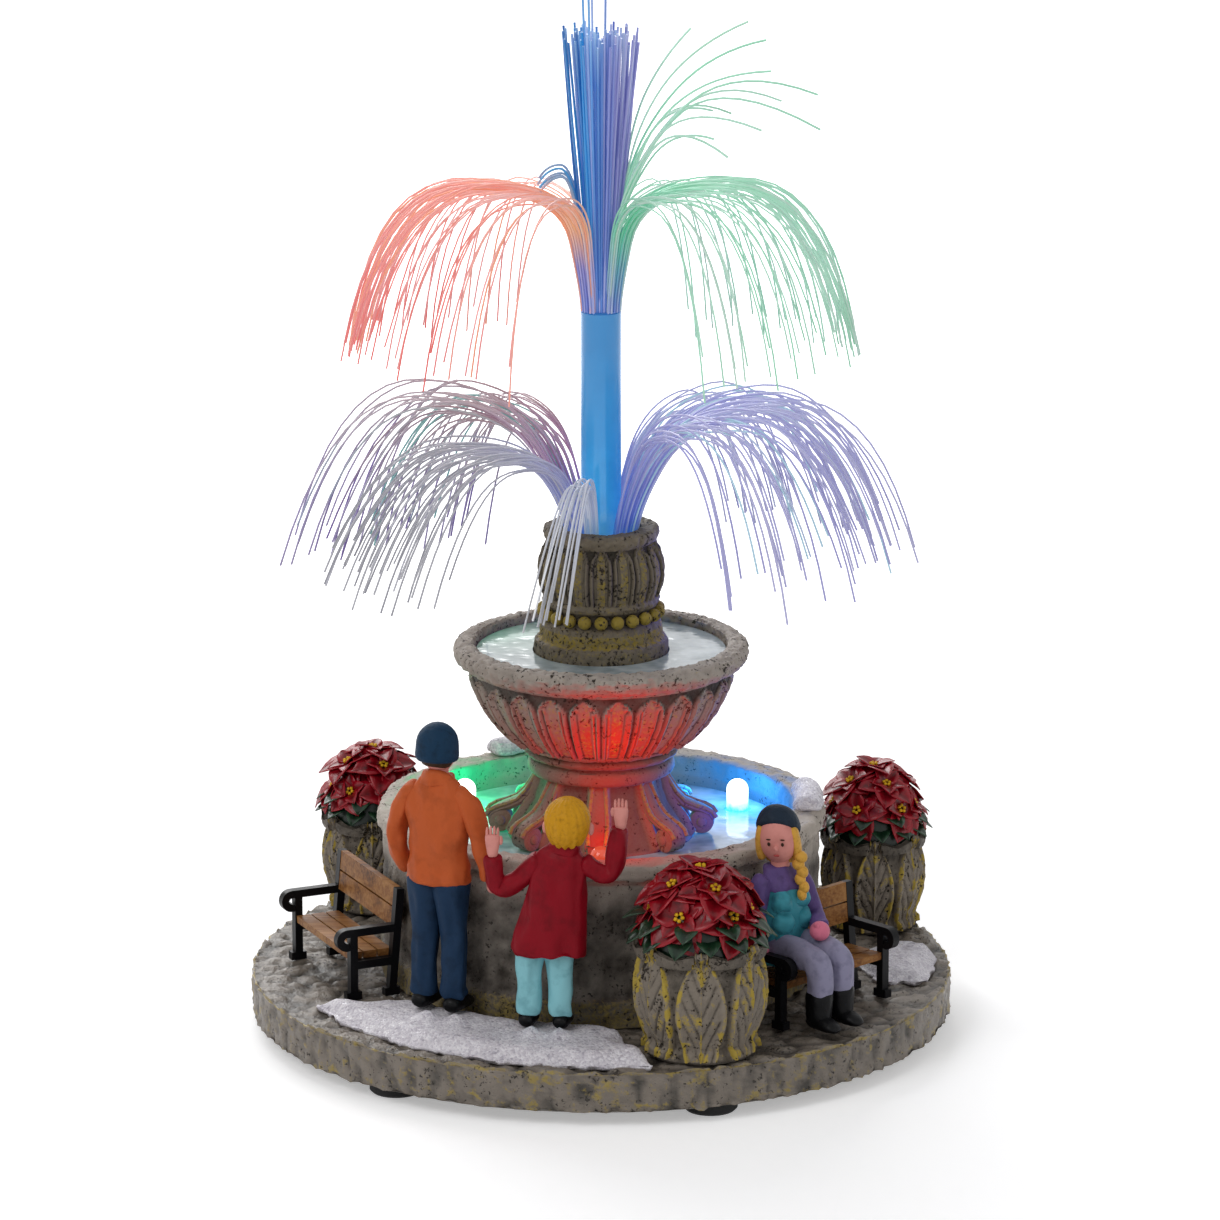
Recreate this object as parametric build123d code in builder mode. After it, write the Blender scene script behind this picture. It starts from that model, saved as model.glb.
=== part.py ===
from build123d import *
import math
import os

os.makedirs("parts", exist_ok=True)

# A battery-lit table fountain: a cast plinth with a pool, a pedestal bowl and an urn,
# optical fibres for the water jets, and figures, benches and pots around the pool.
# Millimetres, +Z up, origin on the table under the middle of the plinth. The front is -Y.

# Fits
cast_clearance = 0.2
screw_clearance = 0.1
pin_clearance = 0.05
door_clearance = 0.3

# Plinth and rubber feet
plinth_radius = 80.0
plinth_height = 10.0
plinth_edge_round = 0.8
foot_height = 3.0
foot_radius = 6.0
foot_inset = 10.0
foot_chamfer = 0.6
foot_count = 6
foot_start_angle = -130.0

# Battery cells, contacts and case
cell_diameter = 14.5
cell_length = 50.5
cell_count = 3
cell_gap = 0.4
cell_nub_radius = 2.75
cell_nub_length = 1.0
contact_thickness = 0.5
contact_width = 11.0
spring_length = 5.0
spring_base_radius = 4.0
spring_tip_radius = 2.0
case_wall = 1.5
case_to_wall = 4.75

# Bottom plate, door and screws
plate_thickness = 2.0
plate_lip = 6.5
door_notch_radius = 5.0
hinge_pin_radius = 0.6
hinge_pin_seat = 3.0
screw_radius = 1.5
screw_length = 7.0
screw_head_radius = 2.8
screw_head_height = 1.2
plate_screw_count = 4
plate_screw_start_angle = 45.0

# Slide switch
switch_length = 13.0
switch_width = 7.0
switch_height = 5.5
switch_from_case = 3.5
knob_length = 4.0
knob_width = 3.0
knob_reach = 2.0
knob_stem_depth = 1.5
switch_travel = 4.0

# Light-emitting diodes and the board under the fibres
led_radius = 2.5
led_flange_radius = 2.9
led_flange_height = 1.0
led_height = 8.6
led_tail_radius = 2.0
led_tail_length = 1.0
pool_led_inset = 7.0
pool_led_start_angle = -90.0
pool_led_colours = ("red", "blue", "green")
board_radius = 17.0
board_thickness = 1.6
board_gap = 2.0
post_radius = 2.5
post_inset = 4.0
post_start_angle = 90.0
post_count = 3
board_screw_radius = 1.0
board_screw_length = 6.0
board_screw_head_radius = 1.9
board_screw_head_height = 1.0
lead_radius = 0.6
lead_bend = 3.0
lead_drop = 7.0
lead_inset = 1.8
switch_lead_offset = 4.0
battery_lead_offset = 5.0

# Fibre core, ferrule and sleeve
core_radius = 4.0
core_clearance = 0.1
core_gap = 0.5
ferrule_wall = 1.4
ferrule_drop = 4.7
ferrule_flange_radius = 8.0
ferrule_flange_height = 1.5
sleeve_wall = 0.4
sleeve_length = 53.6

# Basin and pool
basin_wall = 6.5
basin_floor_thickness = 3.0
pool_water_depth = 1.5
pool_freeboard = 7.2
rim_overhang = 1.5
rim_height = 4.5
rim_round = 1.2
cove_depth = 1.0
base_band_height = 6.0
base_band_depth = 0.8

# Pedestal with scroll feet
pedestal_base_radius = 21.0
pedestal_waist_radius = 14.3
pedestal_waist_height = 14.0
pedestal_band_radius = 16.6
pedestal_band_height = 4.5
pedestal_neck_radius = 17.6
pedestal_neck_height = 2.3
scroll_count = 8
scroll_start_angle = -92.0
scroll_radius = 3.2
scroll_width = 5.0
scroll_reach = 22.6
scroll_lift = 0.3
rib_width = 4.0
rib_outline_shares = ((0.90, 0.98), (1.16, 0.80), (1.30, 0.55), (1.55, 0.38))

# Bowl
bowl_foot_radius = 17.6
bowl_radius = 33.5
bowl_height = 24.3
bowl_inner_radius = 28.3
bowl_dish_depth = 5.0
bowl_water_depth = 2.6
bowl_outline_shares = ((0.60, 0.065), (0.78, 0.34), (0.88, 0.65), (0.90, 0.76))
bowl_rim_shares = ((0.955, 0.79), (1.0, 0.90), (0.955, 0.985), (0.90, 1.0))

# Urn
urn_foot_radius = 15.2
urn_height = 31.5
urn_outline_shares = (
    (1.00, 0.00), (1.00, 0.17), (0.91, 0.20), (0.91, 0.26), (0.86, 0.30), (0.84, 0.38),
    (0.89, 0.41), (0.89, 0.46), (0.85, 0.50),
)
urn_body_shares = ((0.85, 0.50), (0.95, 0.66), (0.80, 0.87))
urn_lip_shares = ((0.80, 0.89), (0.87, 0.92), (0.87, 0.98), (0.82, 1.00))
urn_socket_depth = 5.0
urn_bead_count = 22
urn_bead_radius = 1.5
urn_bead_shares = (0.85, 0.34)

# Optical fibres: each runs straight out of its root, bends over the top and falls
fibre_width = 0.4
fibre_pitch = 0.55
fibre_backing_height = 2.5
fibre_backing_margin = 0.25
fibre_backing_gap = 0.05
fibre_root_bend = 10.0
lower_ring_count = 6
lower_run = 12.0
lower_bend = 19.0
lower_fall_bend = 34.0
lower_tail = 12.0
upper_ring_count = 4
upper_run = 8.0
upper_bend = 20.0
upper_fall_bend = 30.0
upper_tail = 14.0
front_run = 5.0
front_bend = 3.0
front_fall_bend = 7.0
front_tail = 26.0
wisp_run = 17.0
wisp_bend = 33.0
wisp_fall_bend = 40.0
wisp_tail = 2.0
crown_length = 65.0
crown_stray_length = 74.0
crown_ring_counts = (1, 5, 11, 17)
crown_skirt = (58.0, 302.0, 18)
crown_lean_angle = 1.5
crown_spread_share = 0.025
crown_stray_step = 23
# Sprays: first and last angle of the sector, number of fibres, rise angle, fall angle
lower_sprays = {
    "lower_left_front_fibres": (182.0, 232.0, 38, 66.0, 72.0),
    "lower_left_back_fibres": (116.0, 178.0, 44, 72.0, 76.0),
    "lower_right_front_fibres": (-66.0, -4.0, 44, 67.0, 72.0),
    "lower_right_back_fibres": (0.0, 62.0, 44, 71.0, 76.0),
}
front_spray = (-124.0, -100.0, 12, 72.0, 70.0)
upper_sprays = {
    "upper_left_front_fibres": (182.0, 250.0, 25, 79.0, 76.0),
    "upper_left_back_fibres": (110.0, 178.0, 25, 81.0, 80.0),
    "upper_right_front_fibres": (-70.0, -2.0, 25, 79.0, 76.0),
    "upper_right_back_fibres": (2.0, 70.0, 25, 81.0, 80.0),
}
wisp_spray = (-42.0, 42.0, 7, 83.0, 14.0)
fall_spread_share = 0.16
run_spread_share = 0.12

# Benches
bench_length = 35.0
bench_board_thickness = 1.6
bench_seat_depth = 11.0
bench_seat_height = 10.5
bench_back_height = 24.5
bench_back_width = 9.0
bench_arm_height = 16.5
bench_frame_width = 1.8
bench_frame_thickness = 2.0
bench_back_gap = 3.6
bench_slat_gap = 0.4
bench_seat_slats = 3
bench_back_slats = 2
bench_lean_angle = 5.0
bench_curl_radius = 1.6
bench_curl_angle = 200.0
bench_places = {"left": (190.0, 204.5), "right": (-35.0, -45.0)}

# Figures
man_height = 66.0
man_place = (57.0, -127.5, 62.0)
boy_height = 53.0
boy_place = (59.0, -102.0, 80.0)
girl_height = 66.0
girl_slide = 6.0
girl_setback = 5.6
boot_height = 4.0
# Shares of each figure's height: forwards, to its left, up, and radius
man_torso_shares = ((0.40, 0.060, 0.095), (0.55, 0.066, 0.105), (0.74, 0.062, 0.125), (0.80, 0.045, 0.085))
man_limb_shares = (
    ((0, 0.050, 0.44), (0, 0.055, 0.03), 0.056, 0.040),
    ((0, -0.050, 0.44), (0, -0.055, 0.03), 0.056, 0.040),
    ((0, 0.115, 0.745), (-0.02, 0.160, 0.60), 0.042, 0.038),
    ((-0.02, 0.160, 0.60), (0.05, 0.120, 0.46), 0.038, 0.028),
    ((0, -0.115, 0.745), (0.01, -0.160, 0.60), 0.042, 0.038),
    ((0.01, -0.160, 0.60), (0.03, -0.185, 0.46), 0.038, 0.026),
    ((0, 0, 0.76), (0, 0, 0.88), 0.040, 0.036),
)
man_ball_shares = (
    ((0, 0, 0.905), 0.066),
    ((-0.005, 0, 0.926), 0.073),
    ((0.03, -0.186, 0.45), 0.031),
    ((-0.02, 0.160, 0.60), 0.040),
    ((0.01, -0.160, 0.60), 0.040),
    ((0, 0.115, 0.745), 0.044),
    ((0, -0.115, 0.745), 0.044),
)
man_shoe_shares = ((0.02, 0.058), (0.02, -0.058), 0.060, 0.034, 0.05)
boy_torso_shares = ((0.33, 0.080, 0.125), (0.50, 0.075, 0.115), (0.70, 0.070, 0.120), (0.78, 0.050, 0.085))
boy_limb_shares = (
    ((0, 0.060, 0.38), (0, 0.065, 0.03), 0.062, 0.048),
    ((0, -0.060, 0.38), (0, -0.065, 0.03), 0.062, 0.048),
    ((0, 0.105, 0.70), (0.02, 0.205, 0.57), 0.048, 0.044),
    ((0.02, 0.205, 0.57), (-0.01, 0.212, 0.74), 0.044, 0.034),
    ((0, -0.105, 0.70), (0.02, -0.230, 0.66), 0.048, 0.044),
    ((0.02, -0.230, 0.66), (0.04, -0.300, 0.87), 0.044, 0.034),
    ((0, 0, 0.74), (0, 0, 0.86), 0.050, 0.046),
)
boy_ball_shares = (
    ((0.01, 0, 0.885), 0.096),
    ((-0.01, 0, 0.894), 0.105),
    ((-0.01, 0.215, 0.77), 0.040),
    ((0.04, -0.304, 0.90), 0.040),
    ((0.02, 0.205, 0.57), 0.046),
    ((0.02, -0.230, 0.66), 0.046),
)
boy_shoe_shares = ((0.02, 0.068), (0.02, -0.068), 0.070, 0.045, 0.06)
girl_torso_shares = ((0.0, 0.065, 0.090), (0.10, 0.062, 0.085), (0.25, 0.055, 0.090), (0.31, 0.040, 0.065))
girl_limb_shares = (
    ((0.02, 0.045, 0.058), (0.20, 0.050, 0.056), 0.050, 0.042),
    ((0.02, -0.045, 0.058), (0.20, -0.050, 0.056), 0.050, 0.042),
    ((0, 0.075, 0.265), (0.03, 0.115, 0.14), 0.038, 0.034),
    ((0.03, 0.115, 0.14), (0.13, 0.025, 0.125), 0.034, 0.028),
    ((0, -0.075, 0.265), (0.03, -0.115, 0.14), 0.038, 0.034),
    ((0.03, -0.115, 0.14), (0.13, -0.025, 0.125), 0.034, 0.028),
    ((0, 0, 0.28), (0, 0, 0.40), 0.036, 0.034),
    ((0.03, 0.060, 0.38), (0.055, 0.070, 0.23), 0.030, 0.020),
)
girl_ball_shares = (
    ((0.01, 0, 0.405), 0.074),
    ((-0.005, 0, 0.430), 0.080),
    ((-0.005, 0, 0.520), 0.028),
    ((0.135, 0, 0.125), 0.042),
    ((0.20, 0.050, 0.056), 0.044),
    ((0.20, -0.050, 0.056), 0.044),
    ((0.03, 0.115, 0.14), 0.036),
    ((0.03, -0.115, 0.14), 0.036),
)
girl_shin_shares = (0.205, 0.050, 0.042, 0.036)
girl_boot_shares = (0.060, 0.040)
boot_forward_share = 0.33

# Pots and poinsettias
front_pot_radius = 15.3
front_pot_height = 26.0
rear_pot_radius = 12.5
rear_pot_height = 23.0
pot_outline_shares = ((0.74, 0.0), (0.80, 0.10), (0.86, 0.45), (0.95, 0.80), (1.0, 0.97))
pot_wall = 1.8
pot_soil_depth = 3.0
pot_gap = 1.0
rear_pot_gap = 6.5
pot_places = {"front": -71.0, "right": 25.0, "left": 140.0}
plant_radius_share = 0.80
plant_height = 19.5
plant_dome_shares = ((1.0, 0.0), (0.97, 0.35), (0.75, 0.72), (0.38, 0.94), (0.0, 1.0))
blossom_radius_share = 0.52
blossom_notch_share = 0.52
blossom_tilt_share = 0.35
blossom_seat_share = 0.86
blossom_rings = ((90.0, 1), (50.0, 5), (24.0, 8))
blossom_thickness = 1.4
blossom_petal_count = 6

# Snow
snow_depth = 3.0
snow_edge_round = 1.0
snow_front_shares = (
    (-0.80, -0.41), (-0.72, -0.58), (-0.52, -0.79), (-0.28, -0.915), (-0.05, -0.965), (0.15, -0.96),
    (0.085, -0.82), (0.04, -0.70), (-0.06, -0.665), (-0.23, -0.625), (-0.40, -0.535), (-0.53, -0.45),
    (-0.66, -0.46),
)
snow_right_shares = ((0.78, -0.22), (0.92, -0.20), (0.965, 0.02), (0.89, 0.10), (0.76, 0.10), (0.72, -0.06))
snow_lump_spans = ((-9.0, 11.0), (106.0, 122.0))
snow_lump_height = 2.6

# Levels, from the table up
plinth_bottom = foot_height
plinth_top = plinth_bottom + plinth_height
plate_top = plinth_bottom + plate_thickness
case_inner_length = cell_length + spring_length + 2 * contact_thickness
case_inner_width = cell_count * cell_diameter + (cell_count + 1) * cell_gap
case_length = case_inner_length + 2 * case_wall
case_width = case_inner_width + 2 * case_wall
case_inner_top = plate_top + cell_diameter + 2 * cell_gap
case_top = case_inner_top + case_wall
board_bottom = case_top + board_gap
board_top = board_bottom + board_thickness
core_bottom = board_top + led_height + core_gap
basin_floor_bottom = core_bottom + ferrule_drop
basin_floor_top = basin_floor_bottom + basin_floor_thickness
pool_water_top = basin_floor_top + pool_water_depth
basin_top = pool_water_top + pool_freeboard
pedestal_waist_level = pool_water_top + pedestal_waist_height
pedestal_band_top = pedestal_waist_level + pedestal_band_height
pedestal_top = pedestal_band_top + pedestal_neck_height
bowl_top = pedestal_top + bowl_height
bowl_dish_level = bowl_top - bowl_dish_depth
urn_top = bowl_dish_level + urn_height
socket_level = urn_top - urn_socket_depth
sleeve_top = socket_level + sleeve_length

# Radii that pieces share
cavity_radius = math.hypot(case_length, case_width) / 2 + case_to_wall
basin_radius = cavity_radius + basin_wall
plate_radius = cavity_radius + plate_lip
plate_screw_ring = (cavity_radius + plate_radius) / 2
pool_led_ring = cavity_radius - pool_led_inset
bore_radius = core_radius + core_clearance
ferrule_radius = core_radius + core_clearance + ferrule_wall
sleeve_inner_radius = core_radius + core_clearance
sleeve_radius = sleeve_inner_radius + sleeve_wall
post_ring = board_radius - post_inset
crown_rings = len(crown_ring_counts)
wisp_ring = crown_rings * fibre_pitch
upper_ring = wisp_ring + fibre_pitch
lower_ring = sleeve_radius + cast_clearance + fibre_backing_margin + fibre_width / 2
lower_backing_radius = lower_ring + (lower_ring_count - 1) * fibre_pitch + fibre_width / 2
socket_radius = lower_backing_radius + fibre_backing_margin + cast_clearance


def radial_plane(angle, level=0.0):
    """Upright plane through the middle axis: local x runs outwards at the angle, local y is up."""
    outward = (math.cos(math.radians(angle)), math.sin(math.radians(angle)), 0)
    sideways = (math.sin(math.radians(angle)), -math.cos(math.radians(angle)), 0)
    return Plane(origin=(0, 0, level), x_dir=outward, z_dir=sideways)


def polar_point(radius, angle, level=0.0):
    """Point at a radius and angle around the middle axis."""
    return (
        radius * math.cos(math.radians(angle)),
        radius * math.sin(math.radians(angle)),
        level,
    )


def scaled(shares, radius, height, level):
    """Outline points from shares of a radius and of a height above a level."""
    return [(across * radius, level + up * height) for across, up in shares]


# Plinth: round slab, open in the middle for the battery case, with a recess for the bottom plate
with BuildPart() as plinth:
    with BuildSketch(Plane.XY.offset(plinth_bottom)):
        Circle(plinth_radius)
    extrude(amount=plinth_height)
    fillet(plinth.edges().filter_by(GeomType.CIRCLE).group_by(Axis.Z)[-1], plinth_edge_round)
    with BuildSketch(Plane.XY.offset(plinth_bottom)):
        Circle(cavity_radius)
    extrude(amount=plinth_height, mode=Mode.SUBTRACT)
    with BuildSketch(Plane.XY.offset(plinth_bottom)):
        Circle(plate_radius + cast_clearance)
    extrude(amount=plate_thickness, mode=Mode.SUBTRACT)
    with BuildSketch(Plane.XY.offset(plate_top)):
        with PolarLocations(plate_screw_ring, plate_screw_count, plate_screw_start_angle):
            Circle(screw_radius + screw_clearance)
    extrude(amount=screw_length - plate_thickness + screw_clearance, mode=Mode.SUBTRACT)
plinth.part.label = "plinth"
export_step(plinth.part, "parts/plinth.step")

# Rubber feet: six short pads under the edge of the plinth
with BuildPart() as rubber_feet:
    with BuildSketch():
        with PolarLocations(plinth_radius - foot_inset, foot_count, foot_start_angle):
            Circle(foot_radius)
    extrude(amount=foot_height)
    chamfer(rubber_feet.edges().group_by(Axis.Z)[0], foot_chamfer)
rubber_feet.part.label = "rubber_feet"
export_step(rubber_feet.part, "parts/rubber_feet.step")

# Hinge line of the battery door, across the short end of the battery opening
hinge_radius = plate_thickness / 2
hinge_x = -case_inner_length / 2 + door_clearance + hinge_radius
hinge_level = plinth_bottom + hinge_radius
hinge_pin_length = case_inner_width + 2 * hinge_pin_seat
switch_y = case_width / 2 + switch_from_case + switch_width / 2
knob_rest_x = switch_travel / 2
knob_slot_length = knob_length + switch_travel + 2 * door_clearance
knob_slot_width = knob_width + 2 * door_clearance
hinge_plane = Plane(origin=(hinge_x, 0, hinge_level), x_dir=(1, 0, 0), z_dir=(0, 1, 0))

# Bottom plate: closes the hollow, with the battery opening and the slot of the switch knob
with BuildPart() as bottom_plate:
    with BuildSketch(Plane.XY.offset(plinth_bottom)):
        Circle(plate_radius)
        Rectangle(case_inner_length, case_inner_width, mode=Mode.SUBTRACT)
        with Locations((0, switch_y)):
            Rectangle(knob_slot_length, knob_slot_width, mode=Mode.SUBTRACT)
        with PolarLocations(plate_screw_ring, plate_screw_count, plate_screw_start_angle):
            Circle(screw_radius + screw_clearance, mode=Mode.SUBTRACT)
    extrude(amount=plate_thickness)
    with BuildSketch(Plane.XY.offset(plinth_bottom)):
        with PolarLocations(plate_screw_ring, plate_screw_count, plate_screw_start_angle):
            Circle(screw_head_radius + screw_clearance)
    extrude(amount=screw_head_height, mode=Mode.SUBTRACT)
    with BuildSketch(hinge_plane.offset(-hinge_pin_length / 2)):
        Circle(hinge_pin_radius + pin_clearance)
    extrude(amount=hinge_pin_length, mode=Mode.SUBTRACT)
bottom_plate.part.label = "bottom_plate"
export_step(bottom_plate.part, "parts/bottom_plate.step")

# Plate screws: the heads lie flush with the underside of the plate
with BuildPart() as plate_screws:
    with BuildSketch(Plane.XY.offset(plinth_bottom)):
        with PolarLocations(plate_screw_ring, plate_screw_count, plate_screw_start_angle):
            Circle(screw_head_radius)
    extrude(amount=screw_head_height)
    with BuildSketch(Plane.XY.offset(plinth_bottom)):
        with PolarLocations(plate_screw_ring, plate_screw_count, plate_screw_start_angle):
            Circle(screw_radius)
    extrude(amount=screw_length)
plate_screws.part.label = "plate_screws"
export_step(plate_screws.part, "parts/plate_screws.step")

# Hinge pin of the battery door, held by its two ends in the plate
with BuildPart() as hinge_pin:
    with BuildSketch(hinge_plane.offset(-hinge_pin_length / 2)):
        Circle(hinge_pin_radius)
    extrude(amount=hinge_pin_length)
hinge_pin.part.label = "hinge_pin"
export_step(hinge_pin.part, "parts/hinge_pin.step")

# Battery door: a flat cover with a round hinge edge and a finger notch at its free end
door_end_x = case_inner_length / 2 - door_clearance
door_width = case_inner_width - 2 * door_clearance
with BuildPart() as battery_door:
    with BuildSketch(Plane.XY.offset(plinth_bottom)):
        with Locations(((hinge_x + door_end_x) / 2, 0)):
            Rectangle(door_end_x - hinge_x, door_width)
        with Locations((door_end_x, 0)):
            Circle(door_notch_radius, mode=Mode.SUBTRACT)
    extrude(amount=plate_thickness)
    with BuildSketch(hinge_plane.offset(-door_width / 2)):
        Circle(hinge_radius)
    extrude(amount=door_width)
    with BuildSketch(hinge_plane.offset(-door_width / 2)):
        Circle(hinge_pin_radius + pin_clearance)
    extrude(amount=door_width, mode=Mode.SUBTRACT)
battery_door.part.label = "battery_door"
export_step(battery_door.part, "parts/battery_door.step")

# Battery case: an open box that stands on the plate around the battery opening
with BuildPart() as battery_case:
    with BuildSketch(Plane.XY.offset(plate_top)):
        Rectangle(case_length, case_width)
    extrude(amount=case_top - plate_top)
    fillet(battery_case.edges().filter_by(Axis.Z), case_wall)
    with BuildSketch(Plane.XY.offset(plate_top)):
        Rectangle(case_inner_length, case_inner_width)
    extrude(amount=case_inner_top - plate_top, mode=Mode.SUBTRACT)
battery_case.part.label = "battery_case"
export_step(battery_case.part, "parts/battery_case.step")

# Battery cells lie side by side, turned end for end so that they are in series
cell_pitch = cell_diameter + cell_gap
cell_level = plate_top + cell_gap + cell_diameter / 2
cell_rows = [
    ((index - (cell_count - 1) / 2) * cell_pitch, 1 if index % 2 == 0 else -1)
    for index in range(cell_count)
]
contact_face_x = case_inner_length / 2 - contact_thickness


def end_plane(x, y, direction):
    """Plane across the cells at x, on the axis of the row at y, looking along X by direction."""
    return Plane(origin=(x, y, cell_level), x_dir=(0, 1, 0), z_dir=(direction, 0, 0))


with BuildPart() as battery_cells:
    for row_y, direction in cell_rows:
        with BuildSketch(end_plane(direction * contact_face_x, row_y, -direction)):
            Circle(cell_nub_radius)
        extrude(amount=cell_length)
        with BuildSketch(end_plane(direction * (contact_face_x - cell_nub_length), row_y, -direction)):
            Circle(cell_diameter / 2)
        extrude(amount=cell_length - cell_nub_length)
battery_cells.part.label = "battery_cells"
export_step(battery_cells.part, "parts/battery_cells.step")

# Contact springs press on the flat ends of the cells
with BuildPart() as contact_springs:
    for row_y, direction in cell_rows:
        with BuildSketch(end_plane(-direction * contact_face_x, row_y, direction)):
            Circle(spring_base_radius)
        with BuildSketch(end_plane(-direction * (contact_face_x - spring_length), row_y, direction)):
            Circle(spring_tip_radius)
        loft()
contact_springs.part.label = "contact_springs"
export_step(contact_springs.part, "parts/contact_springs.step")

# Contact plates on the end walls of the case, one behind each end of each cell
with BuildPart() as contact_plates:
    for row_y, direction in cell_rows:
        for side in (1, -1):
            with BuildSketch(end_plane(side * contact_face_x, row_y, side)):
                Rectangle(contact_width, contact_width)
            extrude(amount=contact_thickness)
contact_plates.part.label = "contact_plates"
export_step(contact_plates.part, "parts/contact_plates.step")

# Slide switch: a box on the plate with a slot below for the stem of its knob
with BuildPart() as switch_body:
    with BuildSketch(Plane.XY.offset(plate_top)):
        with Locations((0, switch_y)):
            Rectangle(switch_length, switch_width)
    extrude(amount=switch_height)
    with BuildSketch(Plane.XY.offset(plate_top)):
        with Locations((0, switch_y)):
            Rectangle(knob_slot_length, knob_slot_width)
    extrude(amount=knob_stem_depth + door_clearance, mode=Mode.SUBTRACT)
switch_body.part.label = "switch_body"
export_step(switch_body.part, "parts/switch_body.step")

# Switch knob, pushed to its on end
with BuildPart() as switch_knob:
    with BuildSketch(Plane.XY.offset(plinth_bottom - knob_reach)):
        with Locations((knob_rest_x, switch_y)):
            Rectangle(knob_length, knob_width)
    extrude(amount=knob_reach + plate_thickness + knob_stem_depth)
switch_knob.part.label = "switch_knob"
export_step(switch_knob.part, "parts/switch_knob.step")


def led(x, y, level, tail):
    """One round LED: a domed bulb on a flange at the level, with a tail below it."""
    place = Plane(origin=(x, y, level), x_dir=(1, 0, 0), z_dir=(0, 0, 1))
    with BuildPart() as bulb:
        with BuildSketch(place):
            Circle(led_flange_radius)
        extrude(amount=led_flange_height)
        with BuildSketch(place):
            Circle(led_radius)
        extrude(amount=led_height - led_radius)
        with Locations((x, y, level + led_height - led_radius)):
            Sphere(led_radius)
        if tail > 0:
            with BuildSketch(place.offset(-tail)):
                Circle(led_tail_radius)
            extrude(amount=tail)
    return bulb.part


# Pool LEDs stand on the pool floor, with their tails through it
pool_led_angles = {
    colour: pool_led_start_angle + index * 360.0 / len(pool_led_colours)
    for index, colour in enumerate(pool_led_colours)
}
pool_led_tail = basin_floor_thickness + led_tail_length
for colour, led_angle in pool_led_angles.items():
    led_x, led_y, floor_level = polar_point(pool_led_ring, led_angle, basin_floor_top)
    pool_led = led(led_x, led_y, floor_level, pool_led_tail)
    pool_led.label = f"pool_led_{colour}"
    export_step(pool_led, f"parts/pool_led_{colour}.step")

# Fibre LED on the board, just under the lower end of the fibre core
fibre_led = led(0, 0, board_top, 0)
fibre_led.label = "fibre_led"
export_step(fibre_led, "parts/fibre_led.step")

# LED board: a round board hung from three posts under the pool floor
with BuildPart() as led_board:
    with BuildSketch(Plane.XY.offset(board_bottom)):
        Circle(board_radius)
        with PolarLocations(post_ring, post_count, post_start_angle):
            Circle(board_screw_radius + screw_clearance, mode=Mode.SUBTRACT)
    extrude(amount=board_thickness)
led_board.part.label = "led_board"
export_step(led_board.part, "parts/led_board.step")

# Board screws go up through the board into the posts
with BuildPart() as board_screws:
    with BuildSketch(Plane.XY.offset(board_bottom - board_screw_head_height)):
        with PolarLocations(post_ring, post_count, post_start_angle):
            Circle(board_screw_head_radius)
    extrude(amount=board_screw_head_height)
    with BuildSketch(Plane.XY.offset(board_bottom)):
        with PolarLocations(post_ring, post_count, post_start_angle):
            Circle(board_screw_radius)
    extrude(amount=board_screw_length)
board_screws.part.label = "board_screws"
export_step(board_screws.part, "parts/board_screws.step")


def lead(points):
    """One insulated wire along straight runs with round bends."""
    with BuildPart() as wire:
        with BuildLine() as route:
            FilletPolyline(*points, radius=lead_bend)
        with BuildSketch(Plane(origin=route.line @ 0, z_dir=route.line % 0)):
            Circle(lead_radius)
        sweep()
    return wire.part


# Leads inside the hollow: from the pool LEDs and the switch over the board, and from the case to it
lead_level = basin_floor_bottom - led_tail_length - lead_drop
lead_end_ring = board_radius - lead_inset
pool_lead_routes = [
    [
        polar_point(pool_led_ring, led_angle, basin_floor_bottom - led_tail_length),
        polar_point(pool_led_ring, led_angle, lead_level),
        polar_point(lead_end_ring, led_angle, lead_level),
        polar_point(lead_end_ring, led_angle, board_top),
    ]
    for led_angle in pool_led_angles.values()
]
switch_lead_y = math.sqrt(lead_end_ring**2 - switch_lead_offset**2)
switch_lead_routes = [
    [
        (lead_x, switch_y, plate_top + switch_height),
        (lead_x, switch_y, lead_level),
        (lead_x, switch_lead_y, lead_level),
        (lead_x, switch_lead_y, board_top),
    ]
    for lead_x in (-switch_lead_offset, switch_lead_offset)
]
bent_leads = [lead(route) for route in pool_lead_routes + switch_lead_routes]
with BuildPart() as leads:
    add(bent_leads)
    with BuildSketch(Plane.XY.offset(case_top)):
        with Locations((-battery_lead_offset, 0), (battery_lead_offset, 0)):
            Circle(lead_radius)
    extrude(amount=board_gap)
leads.part.label = "leads"
export_step(leads.part, "parts/leads.step")

# Fibre ferrule: a flanged tube in the pool floor that holds the lower end of the bundle
with BuildPart() as fibre_ferrule:
    with BuildSketch(Plane.XY.offset(core_bottom)):
        Circle(ferrule_radius)
    extrude(amount=basin_floor_top - core_bottom)
    with BuildSketch(Plane.XY.offset(basin_floor_bottom - ferrule_flange_height)):
        Circle(ferrule_flange_radius)
    extrude(amount=ferrule_flange_height)
    with BuildSketch(Plane.XY.offset(core_bottom)):
        Circle(bore_radius)
    extrude(amount=basin_floor_top - core_bottom, mode=Mode.SUBTRACT)
fibre_ferrule.part.label = "fibre_ferrule"
export_step(fibre_ferrule.part, "parts/fibre_ferrule.step")

# Fibre core: the packed bundle, from the LED up through the fountain to the top of the sleeve
with BuildPart() as fibre_core:
    with BuildSketch(Plane.XY.offset(core_bottom)):
        Circle(core_radius)
    extrude(amount=sleeve_top - core_bottom)
fibre_core.part.label = "fibre_core"
export_step(fibre_core.part, "parts/fibre_core.step")

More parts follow.
